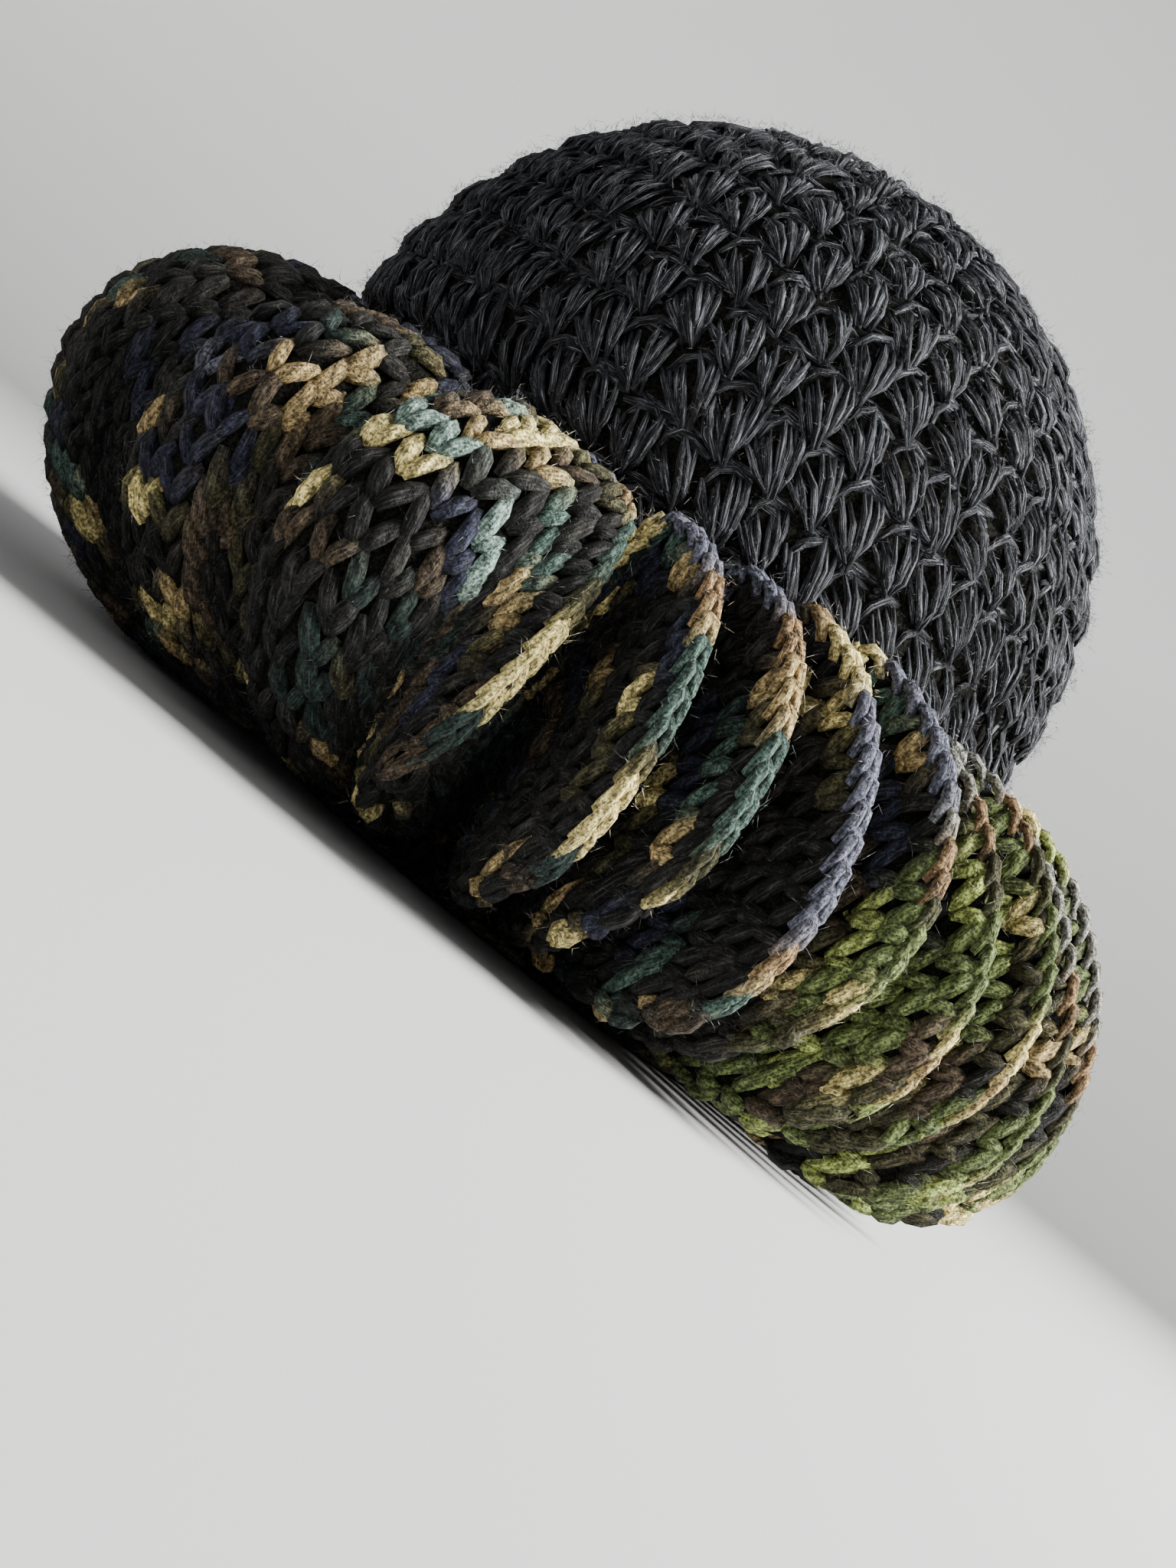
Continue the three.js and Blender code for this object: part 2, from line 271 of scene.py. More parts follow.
@dataclass(frozen=True)
class YarnFinish:
    """Soft yarn: dyed through, with plies that turn round it, and with painted light and shade in its
    colour.

    Streaks along a strand lighten and darken it, partly as the fibres' own tone and partly as painted
    highlight and shade, and the brightest of them carry pale hairs, a painted highlight of lit fibres. The
    plies' furrows are darkened with painted shade, and the fluff is a mottle of painted light and shade.
    With no dye of its own, it takes the colour attribute that its stitches carry. A range says which of a
    texture's values count and what they turn into, and a height is in metres at a depth of one.
    """

    name: str
    sheen: float
    # How pale the painted highlight of lit hairs gets on the brightest streaks.
    lit_hairs: float
    dye: Dye | None = None
    # The tint of the shader's sheen, and of the painted highlight of lit hairs.
    sheen_and_highlight_tint: Rgb = (0.86, 0.9, 1.0)
    roughness: float = 0.7
    gloss: float = 0.14
    sheen_roughness: float = 0.4
    plies: float = 3.0
    turns: float = 2.4
    twist_waver: float = 0.6
    twist_depth: float = 0.5
    twist_height: float = 0.7 * MM
    fluff_scale: float = 1000.0
    fluff_depth: float = 0.8
    fluff_height: float = 1.5 * MM
    streak_scale: Pair = (26.0, 2.2)
    streak_height: float = 0.8 * MM
    # Streaks lighten and darken the colour: partly the fibres' own tone, partly painted highlight and
    # shade.
    shade_range: tuple[Pair, Pair] = ((0.32, 0.68), (0.4, 1.5))
    # The fluff's mottle is painted light and shade, lighter in specks as lit fibres look.
    speckle_light_range: tuple[Pair, Pair] = ((0.38, 0.64), (0.35, 2.2))
    # Painted shade: the colour is darker in the plies' furrows.
    furrow_shade_range: tuple[Pair, Pair] = ((0.0, 0.6), (0.45, 1.0))
    # The streaks that carry the painted highlight of lit hairs.
    highlight_range: Pair = (0.52, 0.74)

    def material(self) -> bpy.types.Material:
        """Makes the material, or finds it if it is there.

        Returns:
            The material.
        """
        found = bpy.data.materials.get(self.name)
        if found:
            return found
        material = bpy.data.materials.new(self.name)
        material.use_nodes = True
        nodes = Nodes(material.node_tree)
        shader = nodes.tree.nodes["Principled BSDF"]
        shader.inputs["Roughness"].default_value = self.roughness
        shader.inputs["Specular IOR Level"].default_value = self.gloss
        shader.inputs["Sheen Weight"].default_value = self.sheen
        shader.inputs["Sheen Roughness"].default_value = self.sheen_roughness
        shader.inputs["Sheen Tint"].default_value = (*self.sheen_and_highlight_tint, 1.0)
        place = nodes.add("TexCoord", {}).outputs
        fluff = nodes.noise(place["Object"], (self.fluff_scale,) * 3)
        streaks = nodes.noise(place["UV"], (*self.streak_scale, 1.0))
        twist = self._twist(nodes, place["UV"])
        # Streaks along the strand: partly the fibres' own tone, partly painted highlight and shade.
        shade = nodes.ranged(streaks, *self.shade_range)
        # Painted shade, darker in the plies' furrows.
        furrow_shade = nodes.ranged(twist, *self.furrow_shade_range)
        # Painted mottle of light and shade in the fluff.
        speckle_light = nodes.ranged(fluff, *self.speckle_light_range)
        # The dye is multiplied by all three, so it carries painted light and shade.
        depth = nodes.product(nodes.product(shade, furrow_shade), speckle_light)
        # Pale hairs on the brightest streaks: a painted highlight of lit fibres, added to the colour.
        lit_hairs = nodes.ranged(streaks, self.highlight_range, (0.0, self.lit_hairs))
        dye_with_painted_light = nodes.scaled(self._colour(nodes), depth)
        highlit_colour = nodes.scaled(nodes.colour(self.sheen_and_highlight_tint), lit_hairs)
        summed = nodes.add("VectorMath", {0: dye_with_painted_light, 1: highlit_colour}, "ADD").outputs[0]
        nodes.tree.links.new(summed, shader.inputs["Base Color"])
        under: dict[str, Socket] = {}
        for relief, strength, height in (
            (twist, self.twist_depth, self.twist_height),
            (streaks, self.fluff_depth, self.streak_height),
            (fluff, self.fluff_depth, self.fluff_height),
        ):
            bump = nodes.add("Bump", {"Strength": strength, "Distance": height, "Height": relief, **under})
            under = {"Normal": bump.outputs[0]}
        nodes.tree.links.new(under["Normal"], shader.inputs["Normal"])
        return material

    def _colour(self, nodes: Nodes) -> Socket:
        """The colour before it varies: the yarn's own dye, or the stitches' attribute.

        Args:
            nodes: the material's nodes.

        Returns:
            The colour's socket.
        """
        if self.dye:
            return nodes.colour(self.dye.value)
        attribute = nodes.add("Attribute", {})
        attribute.attribute_name = DYE_ATTRIBUTE
        return attribute.outputs["Color"]

    def _twist(self, nodes: Nodes, place: Socket) -> Socket:
        """The plies' turns round the strand: a wave on its UV map.

        Args:
            nodes: the material's nodes.
            place: the UV map.

        Returns:
            The wave's socket.
        """
        scale = (self.plies * WAVE_PERIOD, self.turns * WAVE_PERIOD, 0.0)
        slant = nodes.add("Mapping", {"Scale": scale, "Vector": place}).outputs[0]
        wave = nodes.add("TexWave", {"Scale": 1.0, "Distortion": self.twist_waver, "Vector": slant})
        wave.bands_direction = "DIAGONAL"
        return wave.outputs["Fac"]


# The pale streaks of the yarns, strong on the black and faint on the space-dyed, are a painted highlight of
# lit fibres.
BLACK_YARN = YarnFinish("soft_black_yarn", sheen=0.05, lit_hairs=0.42)
BLACK_GROUND = YarnFinish(
    "black_backing", sheen=0.02, lit_hairs=0.0, gloss=0.0, dye=Dye.CHARCOAL, twist_depth=0.0
)
CAMOUFLAGE_YARN = YarnFinish(
    "space_dyed_yarn", sheen=0.03, lit_hairs=0.05, sheen_and_highlight_tint=(0.95, 0.93, 0.86), gloss=0.1, twist_depth=0.8
)
HAIR = YarnFinish("loose_hair", sheen=0.1, lit_hairs=0.0, twist_depth=0.0, fluff_depth=0.0)


@dataclass(frozen=True)
class StrandTemplate:
    """A straight strand along +Z, from 0 to 1, that is bent and dyed as arrays."""

    sides: int
    steps: int
    sharp: bool = False

    def build(self) -> "StrandArrays":
        """Models the strand once and reads it off as arrays.

        Returns:
            The strand's arrays, with a UV map that is open along one side.
        """
        bm = bmesh.new()
        tip = 0.0 if self.sharp else 1.0
        bmesh.ops.create_cone(
            bm, cap_ends=True, segments=self.sides, radius1=1.0, radius2=tip, depth=1.0,
            matrix=Matrix.Translation((0, 0, 0.5)),
        )
        lengthwise = [e for e in bm.edges if abs(e.verts[0].co.z - e.verts[1].co.z) > 0.5]
        if self.steps > 1:
            bmesh.ops.subdivide_edges(bm, edges=lengthwise, cuts=self.steps - 1, use_grid_fill=True)
        bm.verts.index_update()
        places = np.array([v.co for v in bm.verts])
        corners = [[loop.vert.index for loop in f.loops] for f in bm.faces]
        bm.free()
        angle = np.arctan2(places[:, 0], -places[:, 1]) / math.tau % 1.0
        sizes = np.array([len(c) for c in corners])
        starts = np.cumsum(sizes) - sizes
        flat = np.concatenate(corners)
        around = angle[flat]
        for start, size in zip(starts, sizes):
            part = around[start : start + size]
            if part.max() - part.min() > 0.5:
                part[part < 0.5] += 1.0
        return StrandArrays(
            across=places[:, :2], along=places[:, 2], corners=flat, starts=starts,
            uv=np.stack([around, places[flat, 2]], axis=1),
        )


@dataclass(frozen=True)
class StrandArrays:
    """A strand's points, across it and along it, with the corners of its faces."""

    across: Array
    along: Array
    corners: Array
    starts: Array
    uv: Array


@dataclass
class Strands:
    """Strands of yarn in one mesh, each bent along a curve of four controls.

    plump is a strand's radius at its ends, as a share of its middle's, and a lower fullness keeps it thick
    for longer. Each strand takes its own place on the UV map, within the map's spread.
    """

    shape: StrandArrays
    plump: float = 0.55
    fullness: float = 0.7
    map_spread: float = 400.0
    controls: list[Array] = field(default_factory=list)
    ups: list[Array] = field(default_factory=list)
    radii: list[Array] = field(default_factory=list)
    dyes: list[Array] = field(default_factory=list)

    def add(self, controls: Array, ups: Array, radii: Array, dyes: Array) -> None:
        """Adds strands.

        Args:
            controls: the curves' controls, as (count, 4, 3).
            ups: the way that each strand's flat side faces, as (count, 3).
            radii: each strand's radius at its middle, as (count,).
            dyes: each strand's colours at its start and its end, as (count, 2, 3).
        """
        self.controls.append(controls)
        self.ups.append(ups)
        self.radii.append(radii)
        self.dyes.append(dyes)

    def build(self, name: str, finish: YarnFinish, flatness: float = 0.85) -> bpy.types.Object:
        """Joins the strands into one object.

        Args:
            name: the piece's name.
            finish: the yarn's finish.
            flatness: a strand's thickness as a share of its width.

        Returns:
            The new object.
        """
        controls = np.concatenate(self.controls)
        resting = np.concatenate(self.radii)[:, None]
        controls[..., 2] = np.maximum(controls[..., 2], resting)
        count = len(controls)
        t = self.shape.along
        rest = 1.0 - t
        weights = np.stack([rest**3, 3 * rest**2 * t, 3 * rest * t**2, t**3])
        slopes = np.stack([-(rest**2), rest**2 - 2 * rest * t, 2 * rest * t - t**2, t**2])
        centre = np.einsum("mkc,kn->mnc", controls, weights)
        along = unit(np.einsum("mkc,kn->mnc", controls, slopes))
        up = np.concatenate(self.ups)[:, None, :]
        up = unit(up - (up * along).sum(-1, keepdims=True) * along)
        side = np.cross(up, along)
        girth = self.plump + (1.0 - self.plump) * np.sin(math.pi * np.clip(t, 0.0, 1.0)) ** self.fullness
        radius = np.concatenate(self.radii)[:, None, None] * girth[None, :, None]
        across = self.shape.across
        places = centre + radius * (across[:, 0, None] * side + flatness * across[:, 1, None] * up)
        per_strand = len(t)
        steps = np.arange(count)[:, None]
        corners = (self.shape.corners[None, :] + per_strand * steps).ravel()
        starts = (self.shape.starts[None, :] + len(self.shape.corners) * steps).ravel()
        first, last = np.moveaxis(np.concatenate(self.dyes)[:, :, None, :], 1, 0)
        dyes = (first + (last - first) * t[None, :, None] ** 2).reshape(-1, 3)
        shifts = np.random.default_rng(count).uniform(0.0, self.map_spread, (count, 1, 1)) * (0.0, 1.0)
        uv = (self.shape.uv[None] + shifts).reshape(-1, 2)
        made = joined(name, places.reshape(-1, 3), corners, starts, uv, dyes)
        made.data.materials.append(finish.material())
        return made


def blended(own: Array, other: Array, share: float = 0.4) -> Array:
    """Colours at a strand's start and end, where it takes a share of its neighbour's."""
    return np.stack([own, (np.sqrt(own) * (1 - share) + np.sqrt(other) * share) ** 2], axis=1)


def unit(vectors: Array) -> Array:
    """The vectors at length one."""
    return vectors / np.maximum(np.linalg.norm(vectors, axis=-1, keepdims=True), 1e-9)


def joined(
    name: str, places: Array, corners: Array, starts: Array, uv: Array, dyes: Array
) -> bpy.types.Object:
    """Makes one object of many small closed bodies.

    Args:
        name: the object's name.
        places: all the vertices, as (n, 3).
        corners: the vertex at each corner of each face.
        starts: where each face's corners start.
        uv: the UV at each corner.
        dyes: the colour at each vertex.

    Returns:
        The object, shaded smooth, with a UV map and the colour attribute that the yarns read.
    """
    mesh = bpy.data.meshes.new(name)
    mesh.vertices.add(len(places))
    mesh.vertices.foreach_set("co", places.astype(np.float32).ravel())
    mesh.loops.add(len(corners))
    mesh.loops.foreach_set("vertex_index", corners.astype(np.int32))
    mesh.polygons.add(len(starts))
    mesh.polygons.foreach_set("loop_start", starts.astype(np.int32))
    mesh.update(calc_edges=True)
    mesh.uv_layers.new(name="strand").data.foreach_set("uv", uv.astype(np.float32).ravel())
    colours = np.concatenate([dyes, np.ones((len(dyes), 1))], axis=1).astype(np.float32)
    attribute = mesh.color_attributes.new(DYE_ATTRIBUTE, "FLOAT_COLOR", "POINT")
    attribute.data.foreach_set("color", colours.ravel())
    mesh.shade_smooth()
    return shown(name, mesh)


def shown(name: str, mesh: bpy.types.Mesh) -> bpy.types.Object:
    """Links a new object for a mesh.

    Args:
        name: the object's name.
        mesh: its mesh.

    Returns:
        The new object.
    """
    made = bpy.data.objects.new(name, mesh)
    bpy.context.scene.collection.objects.link(made)
    return made


def sealed(bm: bmesh.types.BMesh, within: float = 1e-5) -> None:
    """Joins a mesh's seams and poles, and turns its faces outwards."""
    bmesh.ops.remove_doubles(bm, verts=bm.verts, dist=within)
    bmesh.ops.recalc_face_normals(bm, faces=bm.faces)


def finished(
    bm: bmesh.types.BMesh, name: str, material: bpy.types.Material, smooth: bool = True
) -> bpy.types.Object:
    """Makes one object of a mesh that is modelled, and frees the mesh.

    Args:
        bm: the modelled mesh.
        name: the object's name.
        material: its one material.
        smooth: whether it is shaded smooth.

    Returns:
        The new object.
    """
    mesh = bpy.data.meshes.new(name)
    bm.to_mesh(mesh)
    bm.free()
    if smooth:
        mesh.shade_smooth()
    mesh.materials.append(material)
    return shown(name, mesh)


def placed(made: bpy.types.Object, slot: str, *nodes: str) -> bpy.types.Object:
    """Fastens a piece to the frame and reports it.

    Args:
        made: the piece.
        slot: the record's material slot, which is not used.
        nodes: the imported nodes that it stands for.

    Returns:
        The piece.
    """
    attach(made, BODY)
    if nodes:
        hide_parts(*nodes)
    log.info("%s: %d faces", made.name, len(made.data.polygons))
    return made


@dataclass(frozen=True)
class HatForm:
    """The hat's driving sizes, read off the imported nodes."""

    axis: Pair
    band_height: float
    band_radius: float
    crown_radius: float
    widest_height: float
    lean_forward: float
    band_wall: float = 0.007
    crown_wall: float = 0.007

    @classmethod
    def from_frame(cls) -> "HatForm":
        """Reads the sizes off the boxes of the band and the crown.

        Returns:
            The hat's form.
        """
        band_low, band_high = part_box("rim_band")
        crown_low, crown_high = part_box("crown")
        band_radius = (band_high.y - band_low.y) / 2
        crown_radius = (crown_high.y - crown_low.y) / 2
        axis_x = band_high.x - band_radius
        return cls(
            axis=(axis_x, (band_high.y + band_low.y) / 2),
            band_height=band_high.z,
            band_radius=band_radius,
            crown_radius=crown_radius,
            widest_height=crown_high.z - crown_radius,
            lean_forward=axis_x - crown_radius - crown_low.x,
        )

    def around(self, angle: Array, out: Array | float, height: Array | float) -> Array:
        """Places points round the leaning axis.

        Args:
            angle: the angle from the left side towards the back, in radians.
            out: the distance from the axis.
            height: the height over the plane that the hat rests on.

        Returns:
            The points, with a last axis of 3.
        """
        lean = self.lean_forward * np.minimum(height / self.widest_height, 1.0)
        x = self.axis[0] + out * np.sin(angle) - lean
        y = self.axis[1] - out * np.cos(angle)
        return np.stack(np.broadcast_arrays(x, y, height), axis=-1)


@dataclass(frozen=True)
class Fold:
    """A high fold of the frill, with the sizes of the low fold after it.

    centre is its angle from the left side towards the back, in degrees. In millimetres, rise and reach
    are how much higher and further out it stands, and drop is how much lower or deeper the next low fold
    comes. lobe is how far that low fold is closed, which makes lobes of the high folds beside it.
    """

    centre: float
    rise: float
    reach: float
    drop: float
    lobe: float = 0.0


FOLDS = (
    Fold(-87, -6, 8, -17, 1), Fold(-68, -6, 4, 0, 1), Fold(-42, -3, 2, -4, 1), Fold(-25, 0, 0, 4),
    Fold(-7, 2, -2, 9), Fold(2.5, 3, -1, -4), Fold(10.5, 6, 1, 10), Fold(20, 8, -1, -8),
    Fold(29.5, 0, -2, 4), Fold(38.5, 2, 1, -5), Fold(48, -3, 0, 6), Fold(57.5, 1, 2, 0),
    Fold(67, -4, 1, 5), Fold(77, 0, 2, -2), Fold(87.5, -3, 0, 7), Fold(98, 2, 1, 0),
    Fold(109, -2, -1, 4), Fold(121, 3, 0, -4), Fold(134, -3, 2, 8), Fold(148, 2, -1, -2),
    Fold(162, -1, 1, 5), Fold(176, 4, -2, -5), Fold(190, -3, 1, 9), Fold(204, 2, 2, 0),
    Fold(218, 4, -1, 6), Fold(232, -2, 0, 0, 0.5), Fold(251, 0, 4, -4, 1),
)


@dataclass(frozen=True)
class FrillForm:
    """The frill's middle surface.

    A phase counts its folds round the hat, and a share is 0 at the strip's base and 1 at its free edge.
    Pairs are distances out from the hat's axis and up. The grids are the steps for each fold and the
    points across the strip with which the surface is measured.
    """

    hat: HatForm
    base: Pair = (0.1024, 0.012)
    arc_centre: Pair = (0.138, 0.070)
    arc_radius: float = 0.068
    arc_middle: float = math.radians(24)
    arc_swing: float = math.radians(58)
    high_bend: Pair = (0.125, 0.060)
    low_bend: Pair = (0.166, -0.010)
    squareness: float = 0.75
    side_squash: float = 0.12
    edge_sweep: float = 5.0
    bulge_on_way_down: float = 0.6
    tuck_on_way_up: float = 0.45
    lobe_height: float = 0.965
    valley_depth: float = 0.022
    normal_step: float = 0.01
    width_grid: tuple[int, int] = (96, 41)
    area_grid: tuple[int, int] = (48, 25)

    def at(self, phase: Array, share: Array) -> Array:
        """Points of the surface.

        Args:
            phase: where they are round the hat, in folds.
            share: where they are across the strip.

        Returns:
            The points, with a last axis of 3.
        """
        phase, share = np.broadcast_arrays(np.asarray(phase, float), np.asarray(share, float))
        table = np.array([(f.centre, f.rise * MM, f.reach * MM, f.drop * MM, f.lobe) for f in FOLDS])
        after = np.roll(table, -1, axis=0)
        after[-1, 0] += 360.0
        number = np.floor(phase).astype(int) % len(FOLDS)
        part = phase - np.floor(phase)
        fold, following, before = table[number], after[number], np.roll(table, 1, axis=0)[number]
        width = following[..., 0] - fold[..., 0]
        _, rise, reach, _, _ = np.moveaxis(fold + (following - fold) * part[..., None], -1, 0)
        drop, closed = fold[..., 3], fold[..., 4]
        swing, way_down = np.cos(math.tau * part), np.sin(math.tau * part)
        high = (1 + swing) / 2
        beside = np.maximum(np.where(part < 0.5, before[..., 4], following[..., 4]), closed)
        lobe = closed + (beside - closed) * high
        tuck = self.tuck_on_way_up * np.maximum(-way_down, 0)
        open_out, open_up = self._open(share, swing, rise, reach, drop, tuck)
        lobe_out, lobe_up = self._lobe(share, swing, rise, reach, drop)
        out = open_out + (lobe_out - open_out) * lobe
        up = open_up + (lobe_up - open_up) * lobe
        squared = part + self.squareness * np.sin(4 * math.pi * part) / (4 * math.pi)
        bulge = self.bulge_on_way_down * width * np.maximum(way_down, 0) * (1 - closed)
        angle = np.radians(fold[..., 0] + width * squared + share**2 * (self.edge_sweep + bulge))
        squash = 1 - self.side_squash * np.cos(angle) ** 2
        height = self.arc_centre[1] + (up - self.arc_centre[1]) * squash
        return self.hat.around(angle, out, height)

    def _open(
        self, share: Array, swing: Array, rise: Array, reach: Array, drop: Array, tuck: Array
    ) -> tuple[Array, Array]:
        """Where the surface is in the radial plane, in an open fold.

        Args:
            share: where the points are across the strip.
            swing: 1 in a high fold, -1 in a low one.
            rise: how much higher the high fold's edge stands.
            reach: how much further out it stands.
            drop: how much lower the low fold's edge comes.
            tuck: the share by which the edge is drawn in.

        Returns:
            The distances from the axis and the heights.
        """
        high = (1 + swing) / 2
        tilt = self.arc_middle + self.arc_swing * swing
        radius = self.arc_radius * (1 - tuck)
        edge_out = self.arc_centre[0] + (radius + reach) * np.cos(tilt)
        edge_up = self.arc_centre[1] + radius * np.sin(tilt) + rise * high - drop * (1 - high)
        bend_out = self.low_bend[0] + (self.high_bend[0] - self.low_bend[0]) * high
        bend_up = self.low_bend[1] + (self.high_bend[1] - self.low_bend[1]) * high
        base, bend, edge = (1 - share) ** 2, 2 * share * (1 - share), share**2
        out = base * self.base[0] + bend * bend_out + edge * edge_out
        return out, base * self.base[1] + bend * bend_up + edge * edge_up

    def _lobe(
        self, share: Array, swing: Array, rise: Array, reach: Array, drop: Array
    ) -> tuple[Array, Array]:
        """The same in a closed lobe: round the arc's centre, less far out in a valley.

        Args:
            share: where the points are across the strip.
            swing: 1 in a high fold, -1 in a low one.
            rise: how much higher the high fold's edge stands.
            reach: how much further out its belly stands.
            drop: how much deeper the valley is.

        Returns:
            The distances from the axis and the heights.
        """
        low = (1 - swing) / 2
        start = math.atan2(self.base[1] - self.arc_centre[1], self.base[0] - self.arc_centre[0])
        turn = start + (self.arc_middle + self.arc_swing - start) * share
        radius = self.arc_radius - (self.valley_depth + drop) * low**2 * share * (2 - share)
        out = self.arc_centre[0] + radius * np.cos(turn) + reach * np.sin(math.pi * share)
        return out, self.arc_centre[1] + self.lobe_height * radius * np.sin(turn) + rise * share**2

    def normal(self, phase: Array, share: Array) -> Array:
        """The surface's normals, from small steps along it and across it.

        Args:
            phase: where they are round the hat, in folds.
            share: where they are across the strip.

        Returns:
            The normals, with a last axis of 3.
        """
        step = self.normal_step
        along = self.at(phase + step, share) - self.at(phase - step, share)
        across = self.at(phase, share + step) - self.at(phase, share - step)
        return unit(np.cross(along, across))

    @cached_property
    def widths(self) -> tuple[Array, Array, Array]:
        """How far the strip is from its free edge.

        Returns:
            Phases, shares, and the distance at each of them, as (phases, shares).
        """
        phase = np.linspace(0.0, len(FOLDS), len(FOLDS) * self.width_grid[0] + 1)
        share = np.linspace(1.0, 0.0, self.width_grid[1])
        grid = self.at(phase[:, None], share[None, :])
        steps = np.linalg.norm(np.diff(grid, axis=1), axis=2)
        return phase, share, np.pad(np.cumsum(steps, axis=1), ((0, 0), (1, 0)))

    def share_at(self, phase: Array, distance: Array) -> Array:
        """The shares that lie at distances from the free edge.

        Args:
            phase: where they are round the hat, as (count,).
            distance: how far they are from the edge, one for each or one for all.

        Returns:
            The shares, 0 where the strip is narrower than that.
        """
        fine, shares, far = self.widths
        place = np.interp(phase % len(FOLDS), fine, np.arange(len(fine)))
        first = np.minimum(place.astype(int), len(fine) - 2)
        part = (place - first)[:, None]
        rows = far[first] * (1 - part) + far[first + 1] * part
        distances = np.broadcast_to(distance, phase.shape)
        return np.array([np.interp(d, row, shares) for d, row in zip(distances, rows)])

    def row(self, distance: float, spacing: float) -> Array:
        """Phases of stitches that stand evenly along a row of the strip.

        Args:
            distance: how far the row is from the free edge.
            spacing: the width of a stitch.

        Returns:
            The phases, in order, once round.
        """
        fine = self.widths[0]
        share = self.share_at(fine, np.array(distance))
        steps = np.linalg.norm(np.diff(self.at(fine, share), axis=0), axis=1)
        length = np.concatenate([[0.0], np.cumsum(steps)])
        count = round(length[-1] / spacing)
        return np.interp(np.arange(count) * length[-1] / count, length, fine)

    def area(self) -> tuple[float, float, float]:
        """The strip laid flat.

        Returns:
            Its mean width, the length of its free edge and its area.
        """
        phase = np.linspace(0.0, len(FOLDS), len(FOLDS) * self.area_grid[0] + 1)
        share = np.linspace(0.0, 1.0, self.area_grid[1])
        grid = self.at(phase[:, None], share[None, :])
        widths = np.linalg.norm(np.diff(grid, axis=1), axis=2).sum(axis=1)
        edge = np.linalg.norm(np.diff(grid[:, -1], axis=0), axis=1).sum()
        along = np.diff(grid, axis=0)[:, :-1]
        across = np.diff(grid, axis=1)[:-1]
        return widths.mean(), edge, np.linalg.norm(np.cross(along, across), axis=2).sum()


@dataclass
class Sightlines:
    """Tells which stitches can be seen from anywhere outside the hat.

    Each looks out from where its yarn stands off the walls, in ways spread evenly over a sphere. A way
    that is nearly along the surface doesn't count: its slightest cosine with the normal is set.
    """

    walls: list[bpy.types.Object]
    rays: int = 72
    stand_off: float = 0.0045
    slightest: float = 0.12
    tree: BVHTree = field(init=False)
    ways: Array = field(init=False)

    def __post_init__(self) -> None:
        """Gathers the walls that block the view, and the ways to look."""
        bm = bmesh.new()
        for wall in self.walls:
            bm.from_mesh(wall.data)
        self.tree = BVHTree.FromBMesh(bm)
        bm.free()
        number = np.arange(self.rays) + 0.5
        up = 1 - 2 * number / self.rays
        turn = number * math.pi * (1 + math.sqrt(5))
        level = np.sqrt(1 - up**2)
        self.ways = np.stack([level * np.cos(turn), level * np.sin(turn), up], axis=1)

    def seen(self, places: Array, facing: Array) -> Array:
        """Looks from each place, on the side that it faces.

        Args:
            places: the points, as (count, 3).
            facing: their normals.

        Returns:
            Whether each can be seen.
        """
        found = np.zeros(len(places), bool)
        ways = [Vector(way) for way in self.ways]
        towards = facing @ self.ways.T
        for index, (place, normal) in enumerate(zip(places, facing)):
            start = Vector(place + normal * self.stand_off)
            for number in np.flatnonzero(towards[index] > self.slightest):
                if self.tree.ray_cast(start, ways[number])[0] is None:
                    found[index] = True
                    break
        return found


